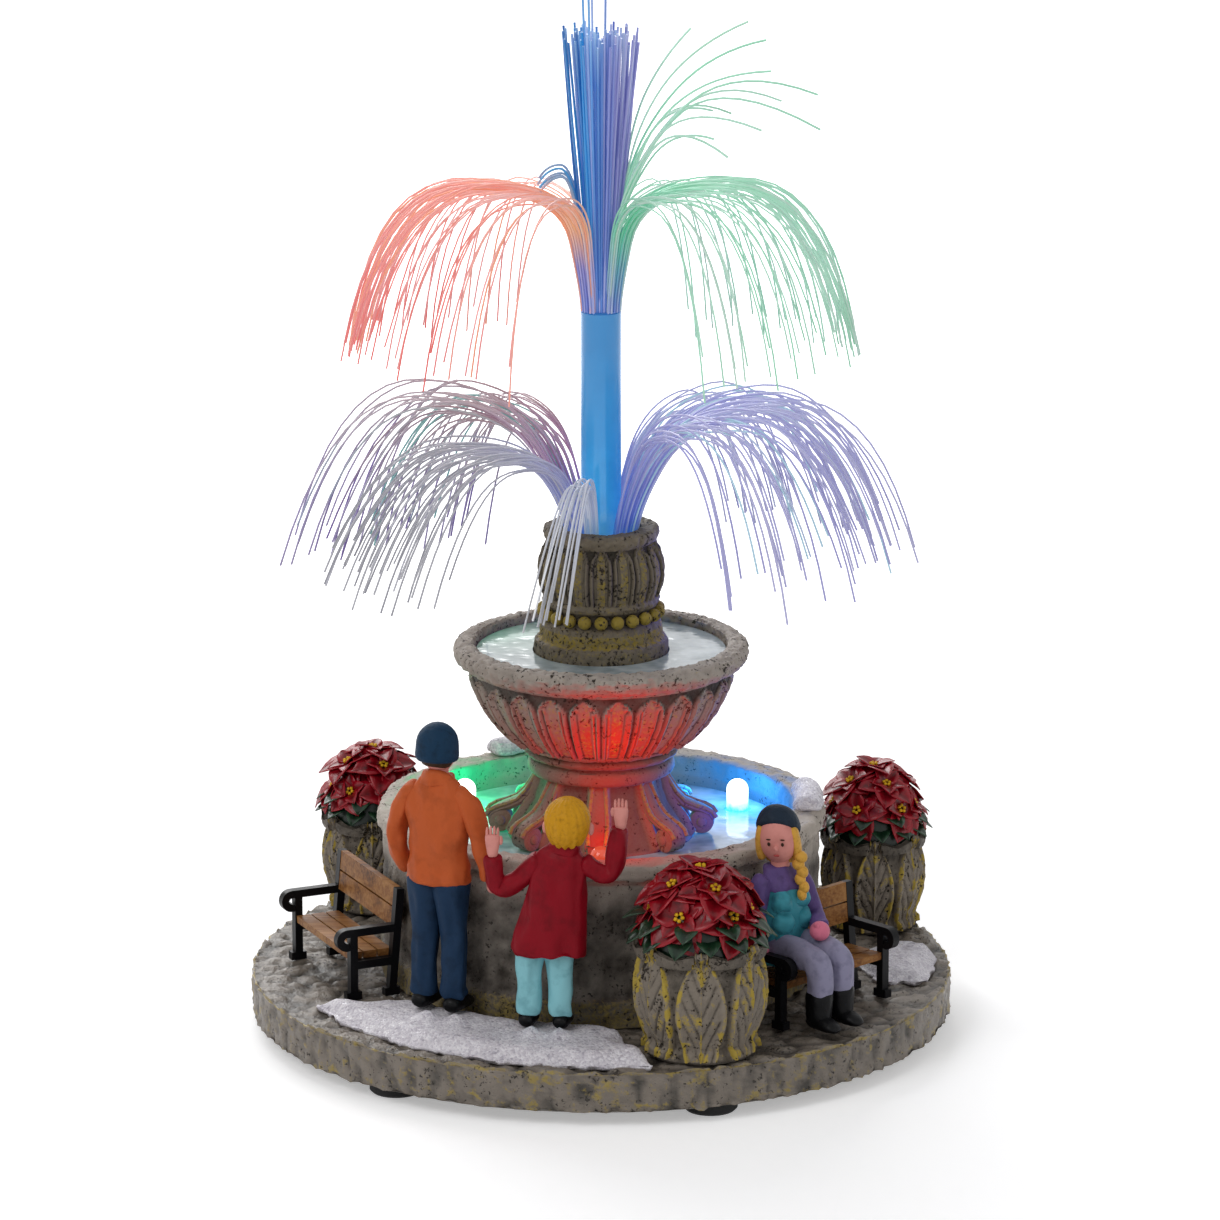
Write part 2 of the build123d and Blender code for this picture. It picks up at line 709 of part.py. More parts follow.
# Fibre sleeve: the clear tube around the bundle above the urn
with BuildPart() as fibre_sleeve:
    with BuildSketch(Plane.XY.offset(socket_level)):
        Circle(sleeve_radius)
        Circle(sleeve_inner_radius, mode=Mode.SUBTRACT)
    extrude(amount=sleeve_length)
fibre_sleeve.part.label = "fibre_sleeve"
export_step(fibre_sleeve.part, "parts/fibre_sleeve.step")

# Basin: round wall with a moulded rim, the pool floor, and posts below it for the LED board
rim_radius = basin_radius + rim_overhang
rim_bottom = basin_top - rim_height
with BuildPart() as basin:
    with BuildSketch(Plane.XZ):
        with BuildLine():
            Polyline(
                (cavity_radius, plinth_top),
                (basin_radius + base_band_depth, plinth_top),
                (basin_radius + base_band_depth, plinth_top + base_band_height),
                (basin_radius, plinth_top + base_band_height + base_band_depth),
                (basin_radius, rim_bottom - cove_depth),
                (basin_radius - cove_depth, rim_bottom),
                (rim_radius, rim_bottom),
                (rim_radius, basin_top),
                (cavity_radius, basin_top),
                (cavity_radius, basin_floor_top),
                (0, basin_floor_top),
                (0, basin_floor_bottom),
                (cavity_radius, basin_floor_bottom),
                close=True,
            )
        make_face()
    revolve(axis=Axis.Z)
    fillet(basin.edges().filter_by(GeomType.CIRCLE).group_by(Axis.Z)[-1], rim_round)
    with BuildSketch(Plane.XY.offset(board_top)):
        with PolarLocations(post_ring, post_count, post_start_angle):
            Circle(post_radius)
    extrude(amount=basin_floor_bottom - board_top)
    with BuildSketch(Plane.XY.offset(board_top)):
        with PolarLocations(post_ring, post_count, post_start_angle):
            Circle(board_screw_radius + screw_clearance)
    extrude(amount=board_screw_length - board_thickness + screw_clearance, mode=Mode.SUBTRACT)
    with BuildSketch(Plane.XY.offset(basin_floor_bottom)):
        Circle(ferrule_radius + cast_clearance)
        with PolarLocations(pool_led_ring, len(pool_led_colours), pool_led_start_angle):
            Circle(led_tail_radius + cast_clearance)
    extrude(amount=basin_floor_thickness, mode=Mode.SUBTRACT)
basin.part.label = "basin"
export_step(basin.part, "parts/basin.step")

# Pool water: a clear resin ring on the pool floor, around the pedestal and the LEDs
with BuildPart() as pool_water:
    with BuildSketch(Plane.XY.offset(basin_floor_top)):
        Circle(cavity_radius - cast_clearance)
        Circle(pedestal_base_radius + cast_clearance, mode=Mode.SUBTRACT)
        with PolarLocations(pool_led_ring, len(pool_led_colours), pool_led_start_angle):
            Circle(led_flange_radius + cast_clearance, mode=Mode.SUBTRACT)
    extrude(amount=pool_water_depth)
pool_water.part.label = "pool_water"
export_step(pool_water.part, "parts/pool_water.step")

# Pedestal: a flared foot with scrolls around it, a waist, a band and a neck ring
scroll_level = pool_water_top + scroll_lift + scroll_radius
with BuildPart() as pedestal:
    with BuildSketch(Plane.XZ):
        with BuildLine():
            Line((bore_radius, basin_floor_top), (pedestal_base_radius, basin_floor_top))
            Line((pedestal_base_radius, basin_floor_top), (pedestal_base_radius, pool_water_top))
            flare = Spline(
                (pedestal_base_radius, pool_water_top),
                (pedestal_waist_radius, pedestal_waist_level),
                tangents=((-1, 1), (0, 1)),
            )
            Polyline(
                flare @ 1,
                (pedestal_band_radius, pedestal_waist_level + pedestal_neck_height / 2),
                (pedestal_band_radius, pedestal_band_top - pedestal_neck_height / 2),
                (pedestal_waist_radius, pedestal_band_top),
                (pedestal_neck_radius - pedestal_neck_height / 2, pedestal_band_top),
            )
            ThreePointArc(
                (pedestal_neck_radius - pedestal_neck_height / 2, pedestal_band_top),
                (pedestal_neck_radius, (pedestal_band_top + pedestal_top) / 2),
                (pedestal_neck_radius - pedestal_neck_height / 2, pedestal_top),
            )
            Line((pedestal_neck_radius - pedestal_neck_height / 2, pedestal_top), (bore_radius, pedestal_top))
            Line((bore_radius, pedestal_top), (bore_radius, basin_floor_top))
        make_face()
    revolve(axis=Axis.Z)
    for index in range(scroll_count):
        scroll_plane = radial_plane(scroll_start_angle + index * 360.0 / scroll_count)
        with BuildSketch(scroll_plane.offset(-scroll_width / 2)):
            with Locations((scroll_reach, scroll_level)):
                Circle(scroll_radius)
        extrude(amount=scroll_width)
        with BuildSketch(scroll_plane.offset(-rib_width / 2)):
            with BuildLine():
                rib = Spline(*scaled(
                    rib_outline_shares, pedestal_waist_radius, pedestal_waist_height, pool_water_top
                ))
                Polyline(
                    rib @ 1,
                    (scroll_reach, scroll_level),
                    (pedestal_waist_radius / 2, scroll_level),
                    rib @ 0,
                )
            make_face()
        extrude(amount=rib_width)
pedestal.part.label = "pedestal"
export_step(pedestal.part, "parts/pedestal.step")

# Bowl: a fluted cup with a heavy rolled rim and a shallow dish for the water
bowl_side = scaled(bowl_outline_shares, bowl_radius, bowl_height, pedestal_top)
bowl_rim = scaled(bowl_rim_shares, bowl_radius, bowl_height, pedestal_top)
with BuildPart() as bowl:
    with BuildSketch(Plane.XZ):
        with BuildLine():
            Line((bore_radius, pedestal_top), (bowl_foot_radius, pedestal_top))
            Spline((bowl_foot_radius, pedestal_top), *bowl_side)
            Line(bowl_side[-1], bowl_rim[0])
            Spline(*bowl_rim)
            Polyline(
                bowl_rim[-1],
                (bowl_inner_radius, bowl_top),
                (bowl_inner_radius, bowl_dish_level),
                (bore_radius, bowl_dish_level),
                (bore_radius, pedestal_top),
            )
        make_face()
    revolve(axis=Axis.Z)
bowl.part.label = "bowl"
export_step(bowl.part, "parts/bowl.step")

# Bowl water: a clear resin ring in the dish, around the foot of the urn
with BuildPart() as bowl_water:
    with BuildSketch(Plane.XY.offset(bowl_dish_level)):
        Circle(bowl_inner_radius - cast_clearance)
        Circle(urn_foot_radius + cast_clearance, mode=Mode.SUBTRACT)
    extrude(amount=bowl_water_depth)
bowl_water.part.label = "bowl_water"
export_step(bowl_water.part, "parts/bowl_water.step")

# Urn: stepped foot, bead band, gadrooned body and lip, with a socket for the roots of the lower fibres
urn_side = scaled(urn_outline_shares, urn_foot_radius, urn_height, bowl_dish_level)
urn_body = scaled(urn_body_shares, urn_foot_radius, urn_height, bowl_dish_level)
urn_lip = scaled(urn_lip_shares, urn_foot_radius, urn_height, bowl_dish_level)
with BuildPart() as urn:
    with BuildSketch(Plane.XZ):
        with BuildLine():
            Polyline((bore_radius, bowl_dish_level), *urn_side)
            ThreePointArc(*urn_body)
            Polyline(
                urn_body[-1],
                *urn_lip,
                (socket_radius, urn_top),
                (socket_radius, socket_level),
                (bore_radius, socket_level),
                (bore_radius, bowl_dish_level),
            )
        make_face()
    revolve(axis=Axis.Z)
    bead_ring, bead_level = scaled((urn_bead_shares,), urn_foot_radius, urn_height, bowl_dish_level)[0]
    with Locations(Plane.XY.offset(bead_level)):
        with PolarLocations(bead_ring, urn_bead_count):
            Sphere(urn_bead_radius)
urn.part.label = "urn"
export_step(urn.part, "parts/urn.step")


def heading(angle):
    """Direction in a radial plane, rising by the angle."""
    return Vector(math.cos(math.radians(angle)), math.sin(math.radians(angle)))


def bend_point(centre, radius, angle):
    """Point of a bend where the fibre runs at the angle; the centre lies on its lower side."""
    return centre + Vector(-math.sin(math.radians(angle)), math.cos(math.radians(angle))) * radius


def fibre_edge(root, stem, rise, fall, run, bend, fall_bend, tail, offset):
    """Draws one edge of a fibre, offset from its base line, and returns its two ends."""
    start = root - Vector(offset, 0)
    stem_end = start + Vector(0, stem)
    root_centre = root + Vector(fibre_root_bend, stem)
    run_start = bend_point(root_centre, fibre_root_bend + offset, rise)
    run_end = run_start + heading(rise) * run
    base_run_end = bend_point(root_centre, fibre_root_bend, rise) + heading(rise) * run
    top_centre = bend_point(base_run_end, -bend, rise)
    top = bend_point(top_centre, bend + offset, 0)
    fall_centre = bend_point(top_centre, bend - fall_bend, 0)
    tail_start = bend_point(fall_centre, fall_bend + offset, -fall)
    tip = tail_start + heading(-fall) * tail
    Line(start, stem_end)
    ThreePointArc(stem_end, bend_point(root_centre, fibre_root_bend + offset, (90 + rise) / 2), run_start)
    Line(run_start, run_end)
    ThreePointArc(run_end, bend_point(top_centre, bend + offset, rise / 2), top)
    ThreePointArc(top, bend_point(fall_centre, fall_bend + offset, -fall / 2), tail_start)
    Line(tail_start, tip)
    return start, tip


def backing(inner_radius, outer_radius, level, first_angle, last_angle):
    """Adds a slice of the backing ring that holds the roots of a spray."""
    with BuildSketch(radial_plane(first_angle)) as section:
        with Locations(((inner_radius + outer_radius) / 2, level + fibre_backing_height / 2)):
            Rectangle(outer_radius - inner_radius, fibre_backing_height)
    revolve(section.sketch, axis=Axis.Z, revolution_arc=last_angle - first_angle)


def spray(inner_ring, ring_count, level, stem, sector, run, bend, fall_bend, tail):
    """A spray of fibres in one sector, in nested rings, on its slice of the backing ring."""
    first_angle, last_angle, count, rise, fall = sector
    outer_ring = inner_ring + (ring_count - 1) * fibre_pitch
    step = (last_angle - first_angle) / count
    with BuildPart() as tuft:
        backing(
            inner_ring - fibre_pitch / 2,
            outer_ring + fibre_pitch / 2 - fibre_backing_gap,
            level,
            first_angle - step / 2,
            last_angle + step / 2,
        )
        for index in range(count):
            ring = index % ring_count
            sway = math.sin(index * math.radians(137.5)) * fall_spread_share
            lift = 1 + run_spread_share * ring
            reach = (fall * (1 + sway), run * lift, bend, fall_bend * (1 + sway), tail * (1 - sway))
            strand_plane = radial_plane(first_angle + (index + 0.5) * step)
            with BuildSketch(strand_plane.offset(-fibre_width / 2)):
                with BuildLine():
                    edges = [
                        fibre_edge(
                            Vector(outer_ring, level), stem, rise, *reach, ring * fibre_pitch + side
                        )
                        for side in (-fibre_width / 2, fibre_width / 2)
                    ]
                    Line(edges[0][0], edges[1][0])
                    Line(edges[0][1], edges[1][1])
                make_face()
        extrude(amount=fibre_width)
    return tuft.part


# Lower sprays stand in the socket of the urn, around the sleeve
sprays = {
    node: spray(
        lower_ring, lower_ring_count, socket_level, urn_socket_depth, sector,
        lower_run, lower_bend, lower_fall_bend, lower_tail,
    )
    for node, sector in lower_sprays.items()
}
sprays["lower_front_fibres"] = spray(
    lower_ring, lower_ring_count, socket_level, urn_socket_depth, front_spray,
    front_run, front_bend, front_fall_bend, front_tail,
)
# Upper sprays and the loose wisps stand on the end of the sleeve
for node, sector in upper_sprays.items():
    sprays[node] = spray(
        upper_ring, upper_ring_count, sleeve_top, fibre_backing_height, sector,
        upper_run, upper_bend, upper_fall_bend, upper_tail,
    )
sprays["wisp_fibres"] = spray(
    wisp_ring, 1, sleeve_top, fibre_backing_height, wisp_spray,
    wisp_run, wisp_bend, wisp_fall_bend, wisp_tail,
)
for node, tuft_part in sprays.items():
    tuft_part.label = node
    export_step(tuft_part, f"parts/{node}.step")


# Crown: straight fibres in rings, leaning out a little more in each ring
crown_roots = [
    (ring, index * 360.0 / count)
    for ring, count in enumerate(crown_ring_counts)
    for index in range(count)
]
skirt_first, skirt_last, skirt_count = crown_skirt
skirt_step = (skirt_last - skirt_first) / (skirt_count - 1)
crown_roots += [(crown_rings, skirt_first + index * skirt_step) for index in range(skirt_count)]
with BuildPart() as crown_fibres:
    with BuildSketch(Plane.XY.offset(sleeve_top)):
        Circle(wisp_ring - fibre_pitch / 2 - fibre_backing_gap)
    extrude(amount=fibre_backing_height)
    backing(
        wisp_ring - fibre_pitch,
        wisp_ring + fibre_pitch / 2 - fibre_backing_gap,
        sleeve_top,
        skirt_first - skirt_step / 2,
        skirt_last + skirt_step / 2,
    )
    for index, (ring, angle) in enumerate(crown_roots):
        length = crown_length * (1 + math.sin(index) * crown_spread_share)
        if index % crown_stray_step == crown_stray_step // 2:
            length = crown_stray_length
        lean = heading(90 - crown_lean_angle * ring) * length
        root = Vector(ring * fibre_pitch - fibre_width / 2, sleeve_top)
        across = Vector(fibre_width, 0)
        stem_end = root + Vector(0, fibre_backing_height)
        with BuildSketch(radial_plane(angle).offset(-fibre_width / 2)):
            with BuildLine():
                Polyline(
                    root,
                    root + across,
                    stem_end + across,
                    stem_end + across + lean,
                    stem_end + lean,
                    stem_end,
                    close=True,
                )
            make_face()
    extrude(amount=fibre_width)
crown_fibres.part.label = "crown_fibres"
export_step(crown_fibres.part, "parts/crown_fibres.step")

# Benches: slats between two cast end frames, backed up to the basin
bench_radius = basin_radius + base_band_depth + bench_back_gap
board_length = bench_length - 2 * bench_frame_thickness
slat_level = bench_seat_height - bench_board_thickness
rail_level = slat_level - bench_frame_width / 2
arm_level = bench_arm_height - bench_frame_width / 2
back_lean = math.tan(math.radians(bench_lean_angle))
post_y = bench_frame_width / 2
leg_y = bench_seat_depth - bench_frame_width / 2


def bench_plane(centre_angle, face_angle):
    """Plane on the plinth at the back edge of a bench: local x along it, local y the way it faces."""
    along = (math.sin(math.radians(face_angle)), -math.cos(math.radians(face_angle)), 0)
    return Plane(origin=polar_point(bench_radius, centre_angle, plinth_top), x_dir=along, z_dir=(0, 0, 1))


def upright_plane(ground, x):
    """Plane across a bench at x along it: local x is the way it faces, local y is up."""
    return Plane(origin=ground.from_local_coords((x, 0, 0)), x_dir=ground.y_dir, z_dir=ground.x_dir)


def bench_frame(ground, x):
    """One cast end frame: leaning back post, front leg, seat rail and a curled arm."""
    with BuildPart() as frame:
        with BuildSketch(upright_plane(ground, x)):
            with BuildLine():
                Line(
                    (post_y, bench_frame_width / 2),
                    (post_y - bench_back_height * back_lean, bench_back_height),
                )
            trace(line_width=bench_frame_width)
            with BuildLine():
                Line((leg_y, 0), (leg_y, arm_level))
            trace(line_width=bench_frame_width)
            with BuildLine():
                Line((post_y, rail_level), (leg_y, rail_level))
            trace(line_width=bench_frame_width)
            with BuildLine():
                Line((post_y - arm_level * back_lean, arm_level), (leg_y + bench_curl_radius, arm_level))
                CenterArc(
                    (leg_y + bench_curl_radius, arm_level - bench_curl_radius),
                    bench_curl_radius, 90, -bench_curl_angle,
                )
            trace(line_width=bench_frame_width)
            with Locations((post_y, 0), (leg_y, 0)):
                Rectangle(2 * bench_frame_width, bench_frame_width, align=(Align.CENTER, Align.MIN))
        extrude(amount=bench_frame_thickness)
    return frame.part


def bench_seat(ground):
    """Seat slats, side by side between the frames, on their rails."""
    slat_width = (bench_seat_depth - (bench_seat_slats + 1) * bench_slat_gap) / bench_seat_slats
    with BuildPart() as seat:
        with BuildSketch(ground.offset(slat_level)):
            with Locations((0, bench_seat_depth / 2)):
                with GridLocations(0, slat_width + bench_slat_gap, 1, bench_seat_slats):
                    Rectangle(board_length, slat_width)
        extrude(amount=bench_board_thickness)
    return seat.part


def bench_back(ground):
    """Back slats between the leaning posts, flush with their tops."""
    slat_width = (bench_back_width - (bench_back_slats - 1) * bench_slat_gap) / bench_back_slats
    slope = Plane(
        origin=ground.from_local_coords((0, post_y, 0)),
        x_dir=ground.x_dir,
        z_dir=ground.y_dir.rotate(Axis((0, 0, 0), ground.x_dir), bench_lean_angle),
    )
    rise = bench_back_height / math.cos(math.radians(bench_lean_angle)) - bench_back_width / 2
    with BuildPart() as back:
        with BuildSketch(slope.offset(-bench_board_thickness / 2)):
            with Locations((0, rise * (slope.y_dir.Z / abs(slope.y_dir.Z)))):
                with GridLocations(0, slat_width + bench_slat_gap, 1, bench_back_slats):
                    Rectangle(board_length, slat_width)
        extrude(amount=bench_board_thickness)
    return back.part


for side, (centre_angle, face_angle) in bench_places.items():
    ground = bench_plane(centre_angle, face_angle)
    bench_pieces = {
        "seat": bench_seat(ground),
        "back": bench_back(ground),
        "near_frame": bench_frame(ground, board_length / 2),
        "far_frame": bench_frame(ground, -board_length / 2 - bench_frame_thickness),
    }
    for piece, bench_piece in bench_pieces.items():
        bench_piece.label = f"bench_{side}_{piece}"
        export_step(bench_piece, f"parts/bench_{side}_{piece}.step")


def limb(ground, height, start, end, start_radius, end_radius):
    """Adds a tapered limb between two points given in shares of the figure's height."""
    foot = ground.from_local_coords(Vector(*start) * height)
    top = ground.from_local_coords(Vector(*end) * height)
    with Locations(Plane(origin=foot, z_dir=top - foot)):
        Cone(
            start_radius * height,
            end_radius * height,
            (top - foot).length,
            align=(Align.CENTER, Align.CENTER, Align.MIN),
        )


def body(ground, height, torso_shares, limb_shares, ball_shares):
    """Adds the torso, limbs and round parts of a figure."""
    sections = []
    for up, depth, width in torso_shares:
        with BuildSketch(ground.offset(up * height)) as section:
            Ellipse(depth * height, width * height)
        sections.append(section.sketch)
    loft(sections)
    for start, end, start_radius, end_radius in limb_shares:
        limb(ground, height, start, end, start_radius, end_radius)
    for centre, radius in ball_shares:
        with Locations(ground.from_local_coords(Vector(*centre) * height)):
            Sphere(radius * height)


def standing_figure(place, height, torso_shares, limb_shares, ball_shares, shoe_shares):
    """A figure that stands on the snow and looks at the fountain."""
    radius, angle, face_angle = place
    forwards = (math.cos(math.radians(face_angle)), math.sin(math.radians(face_angle)), 0)
    origin = polar_point(radius, angle, plinth_top + snow_depth)
    ground = Plane(origin=origin, x_dir=forwards, z_dir=(0, 0, 1))
    left_shoe, right_shoe, shoe_length, shoe_width, shoe_rise = shoe_shares
    with BuildPart() as figure:
        with BuildSketch(ground):
            with Locations(*[(x * height, y * height) for x, y in (left_shoe, right_shoe)]):
                Ellipse(shoe_length * height, shoe_width * height)
        extrude(amount=shoe_rise * height)
        body(ground, height, torso_shares, limb_shares, ball_shares)
    return figure.part


man_figure = standing_figure(
    man_place, man_height, man_torso_shares, man_limb_shares, man_ball_shares, man_shoe_shares
)
man_figure.label = "man_figure"
export_step(man_figure, "parts/man_figure.step")
boy_figure = standing_figure(
    boy_place, boy_height, boy_torso_shares, boy_limb_shares, boy_ball_shares, boy_shoe_shares
)
boy_figure.label = "boy_figure"
export_step(boy_figure, "parts/boy_figure.step")

# Girl: sits on the right bench, with her boots on the plinth
girl_bench = bench_plane(*bench_places["right"])
girl_ground = Plane(
    origin=girl_bench.from_local_coords((girl_slide, girl_setback, bench_seat_height)),
    x_dir=girl_bench.y_dir,
    z_dir=(0, 0, 1),
)
shin_x, shin_y, knee_radius, ankle_radius = [share * girl_height for share in girl_shin_shares]
boot_length, boot_width = [share * girl_height for share in girl_boot_shares]
knee_level = girl_ball_shares[4][0][2] * girl_height
with BuildPart() as girl_figure:
    body(girl_ground, girl_height, girl_torso_shares, girl_limb_shares, girl_ball_shares)
    for shin_side in (shin_y, -shin_y):
        knee = girl_ground.from_local_coords((shin_x, shin_side, knee_level))
        with Locations(Plane(origin=knee, z_dir=(0, 0, -1))):
            Cone(
                knee_radius, ankle_radius, knee_level + bench_seat_height - boot_height / 2,
                align=(Align.CENTER, Align.CENTER, Align.MIN),
            )
        with BuildSketch(girl_ground.offset(-bench_seat_height)):
            with Locations((shin_x + boot_length * boot_forward_share, shin_side)):
                Ellipse(boot_length, boot_width)
        extrude(amount=boot_height)
girl_figure.part.label = "girl_figure"
export_step(girl_figure.part, "parts/girl_figure.step")


def pot(place, radius, height):
    """A flared pot with a soil recess; place is the middle of its foot."""
    middle = Plane(origin=place, x_dir=(1, 0, 0), z_dir=(0, -1, 0))
    side_points = [(across * radius, up * height) for across, up in pot_outline_shares]
    with BuildPart() as vessel:
        with BuildSketch(middle):
            with BuildLine():
                Line((0, 0), side_points[0])
                Spline(*side_points)
                Polyline(
                    side_points[-1],
                    (radius, height),
                    (radius - pot_wall, height),
                    (radius - pot_wall, height - pot_soil_depth),
                    (0, height - pot_soil_depth),
                    (0, 0),
                )
            make_face()
        revolve(axis=Axis(place, (0, 0, 1)))
    return vessel.part


def blossom(ground, radius):
    """Adds one pointed flower, flat on its plane."""
    points = [
        polar_point(radius * (blossom_notch_share if index % 2 else 1), index * 180.0 / blossom_petal_count)
        for index in range(2 * blossom_petal_count)
    ]
    with BuildSketch(ground) as flower:
        Polygon(*[(x, y) for x, y, level in points], align=None)
    extrude(flower.sketch, amount=blossom_thickness)


def poinsettia(place, radius, height):
    """A domed plant that stands in its pot, with rings of flowers."""
    root = Vector(*place) + Vector(0, 0, height - pot_soil_depth)
    plant_radius = radius * plant_radius_share
    flower_radius = plant_radius * blossom_radius_share
    middle = Plane(origin=root, x_dir=(1, 0, 0), z_dir=(0, -1, 0))
    stem_radius = radius - pot_wall - cast_clearance
    dome_height = plant_height - pot_soil_depth
    with BuildPart() as plant:
        with BuildSketch(middle):
            with BuildLine():
                Polyline(
                    (0, 0),
                    (stem_radius, 0),
                    (stem_radius, pot_soil_depth),
                    *[(x * plant_radius, pot_soil_depth + y * dome_height) for x, y in plant_dome_shares],
                    close=True,
                )
            make_face()
        revolve(axis=Axis(root, (0, 0, 1)))
        for climb, count in blossom_rings:
            for index in range(count):
                outward = Vector(*polar_point(math.cos(math.radians(climb)), index * 360.0 / count + climb))
                outward += Vector(0, 0, math.sin(math.radians(climb)))
                tilt = outward + Vector(0, 0, blossom_tilt_share)
                seat = Vector(outward.X * plant_radius, outward.Y * plant_radius, outward.Z * dome_height)
                middle_point = root + Vector(0, 0, pot_soil_depth) + seat * blossom_seat_share
                blossom(Plane(origin=middle_point, z_dir=tilt), flower_radius)
    return plant.part


for pot_side, pot_angle in pot_places.items():
    at_front = pot_side == "front"
    pot_radius = front_pot_radius if at_front else rear_pot_radius
    pot_height = front_pot_height if at_front else rear_pot_height
    gap = pot_gap if at_front else rear_pot_gap
    place = polar_point(basin_radius + base_band_depth + gap + pot_radius, pot_angle, plinth_top)
    for piece, maker in (("pot", pot), ("poinsettia", poinsettia)):
        pot_piece = maker(place, pot_radius, pot_height)
        pot_piece.label = f"{piece}_{pot_side}"
        export_step(pot_piece, f"parts/{piece}_{pot_side}.step")


def snow_patch(shares):
    """A drift of snow on the plinth, with a sloping edge."""
    outline = [(across * plinth_radius, along * plinth_radius) for across, along in shares]
    with BuildPart() as drift:
        with BuildSketch(Plane.XY.offset(plinth_top)):
            with BuildLine():
                Polyline(*outline, close=True)
            make_face()
        extrude(amount=snow_depth)
        chamfer(drift.edges().group_by(Axis.Z)[-1], snow_edge_round)
    return drift.part


for snow_side, shares in (("front", snow_front_shares), ("right", snow_right_shares)):
    snow = snow_patch(shares)
    snow.label = f"snow_{snow_side}"
    export_step(snow, f"parts/snow_{snow_side}.step")

# Snow lumps on the rim of the basin
lump_inner = cavity_radius + rim_round
lump_outer = rim_radius - rim_round
with BuildPart() as snow_rim:
    for first_angle, last_angle in snow_lump_spans:
        with BuildSketch(radial_plane(first_angle)):
            with BuildLine():
                ThreePointArc(
                    (lump_inner, basin_top),
                    ((lump_inner + lump_outer) / 2, basin_top + snow_lump_height),
                    (lump_outer, basin_top),
                )
                Line((lump_outer, basin_top), (lump_inner, basin_top))
            make_face()
        revolve(axis=Axis.Z, revolution_arc=last_angle - first_angle)
snow_rim.part.label = "snow_rim"
export_step(snow_rim.part, "parts/snow_rim.step")
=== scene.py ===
"""Looks of a fibre-optic fountain lamp, laid out as a Blender add-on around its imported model."""
import math
import random
from functools import partial

import bmesh
import bpy
from mathutils import Matrix, Vector, noise
from mathutils.kdtree import KDTree


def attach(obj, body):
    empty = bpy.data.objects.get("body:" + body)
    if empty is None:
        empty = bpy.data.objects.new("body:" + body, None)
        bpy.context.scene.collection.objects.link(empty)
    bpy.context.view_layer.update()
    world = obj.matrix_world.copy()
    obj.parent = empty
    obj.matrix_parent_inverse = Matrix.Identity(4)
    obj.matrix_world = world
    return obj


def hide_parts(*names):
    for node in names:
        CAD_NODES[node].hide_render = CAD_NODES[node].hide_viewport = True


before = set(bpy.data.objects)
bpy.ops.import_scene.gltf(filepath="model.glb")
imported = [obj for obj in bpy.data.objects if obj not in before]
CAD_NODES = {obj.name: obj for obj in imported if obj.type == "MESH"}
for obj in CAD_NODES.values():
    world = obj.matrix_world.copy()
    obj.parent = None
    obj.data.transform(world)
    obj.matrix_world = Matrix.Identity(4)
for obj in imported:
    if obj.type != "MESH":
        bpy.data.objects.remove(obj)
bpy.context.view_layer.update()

bl_info = {
    "name": "Fibre-optic fountain lamp",
    "version": (1, 0, 0),
    "blender": (4, 5, 0),
    "location": "View3D > Sidebar > Fountain",
    "description": "Dresses the packed fountain: carved stone, figures, plants, snow and lit fibres",
    "category": "Object",
}

MM = 0.001

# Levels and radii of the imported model, and how far above their seat fibres start, in millimetres
PLINTH_TOP = 13.0
PLINTH_UNDERSIDE = 3.0
PLINTH_RADIUS = 79.95
SNOW_TOP = 16.0
POOL_FLOOR = 42.2
POOL_TOP = 43.7
BASIN_TOP = 50.9
PEDESTAL_TOP = 64.5
DISH_LEVEL = 83.8
BOWL_TOP = 88.8
URN_HEIGHT = 31.5
URN_RADIUS = 15.2
SOCKET_LEVEL = 110.3
SLEEVE_TOP = 163.9
ROOT_LIFT = 0.3
CAVITY_RADIUS = 43.0
CORE_RADIUS = 4.1

# Counts around the middle axis, and the turn of the first scroll foot in degrees
SCROLL_COUNT = 8
SCROLL_START = -92.0
BOWL_PANELS = 24
URN_LOBES = 16
URN_BEADS = 22
POT_LEAVES = 7
POT_LEAF_PHASE = 0.75
GOLDEN_ANGLE = math.radians(137.5)

# Pots: place on the plinth, radius and height, in millimetres
POTS = {
    "front": (21.7, -63.0, 15.3, 26.0),
    "right": (62.8, 29.3, 12.5, 23.0),
    "left": (-53.1, 44.6, 12.5, 23.0),
}

# Glow of the pool lamps: where it comes from and how far it reaches, in millimetres, and its colour
POOL_LIGHTS = {
    "red": ((4.0, -40.0, 60.0), 15.0, "#FF2614"),
    "blue": ((31.2, 18.0, 50.0), 20.0, "#2A96FF"),
    "green": ((-31.2, 18.0, 50.0), 20.0, "#22EC94"),
}


def linear(code):
    """Linear colour of an sRGB hex code; a colour property is linear already."""
    if not isinstance(code, str):
        return (*code[:3], 1.0)
    parts = [int(code[place:place + 2], 16) / 255 for place in (1, 3, 5)]
    return (*(part / 12.92 if part <= 0.04045 else ((part + 0.055) / 1.055) ** 2.4 for part in parts), 1.0)


def toned(colour, share):
    """A darker or paler tone of a colour."""
    return tuple(min(1.0, share * part) for part in linear(colour)[:3])


def grey(value):
    """A ramp colour of one value."""
    return (value, value, value)


def feed(node, inputs):
    """Gives a node's inputs their values, hex colours among them, or links the sockets they come from."""
    for key, value in inputs.items():
        if isinstance(value, bpy.types.NodeSocket):
            node.id_data.links.new(value, node.inputs[key])
        else:
            node.inputs[key].default_value = linear(value) if isinstance(value, str) else value


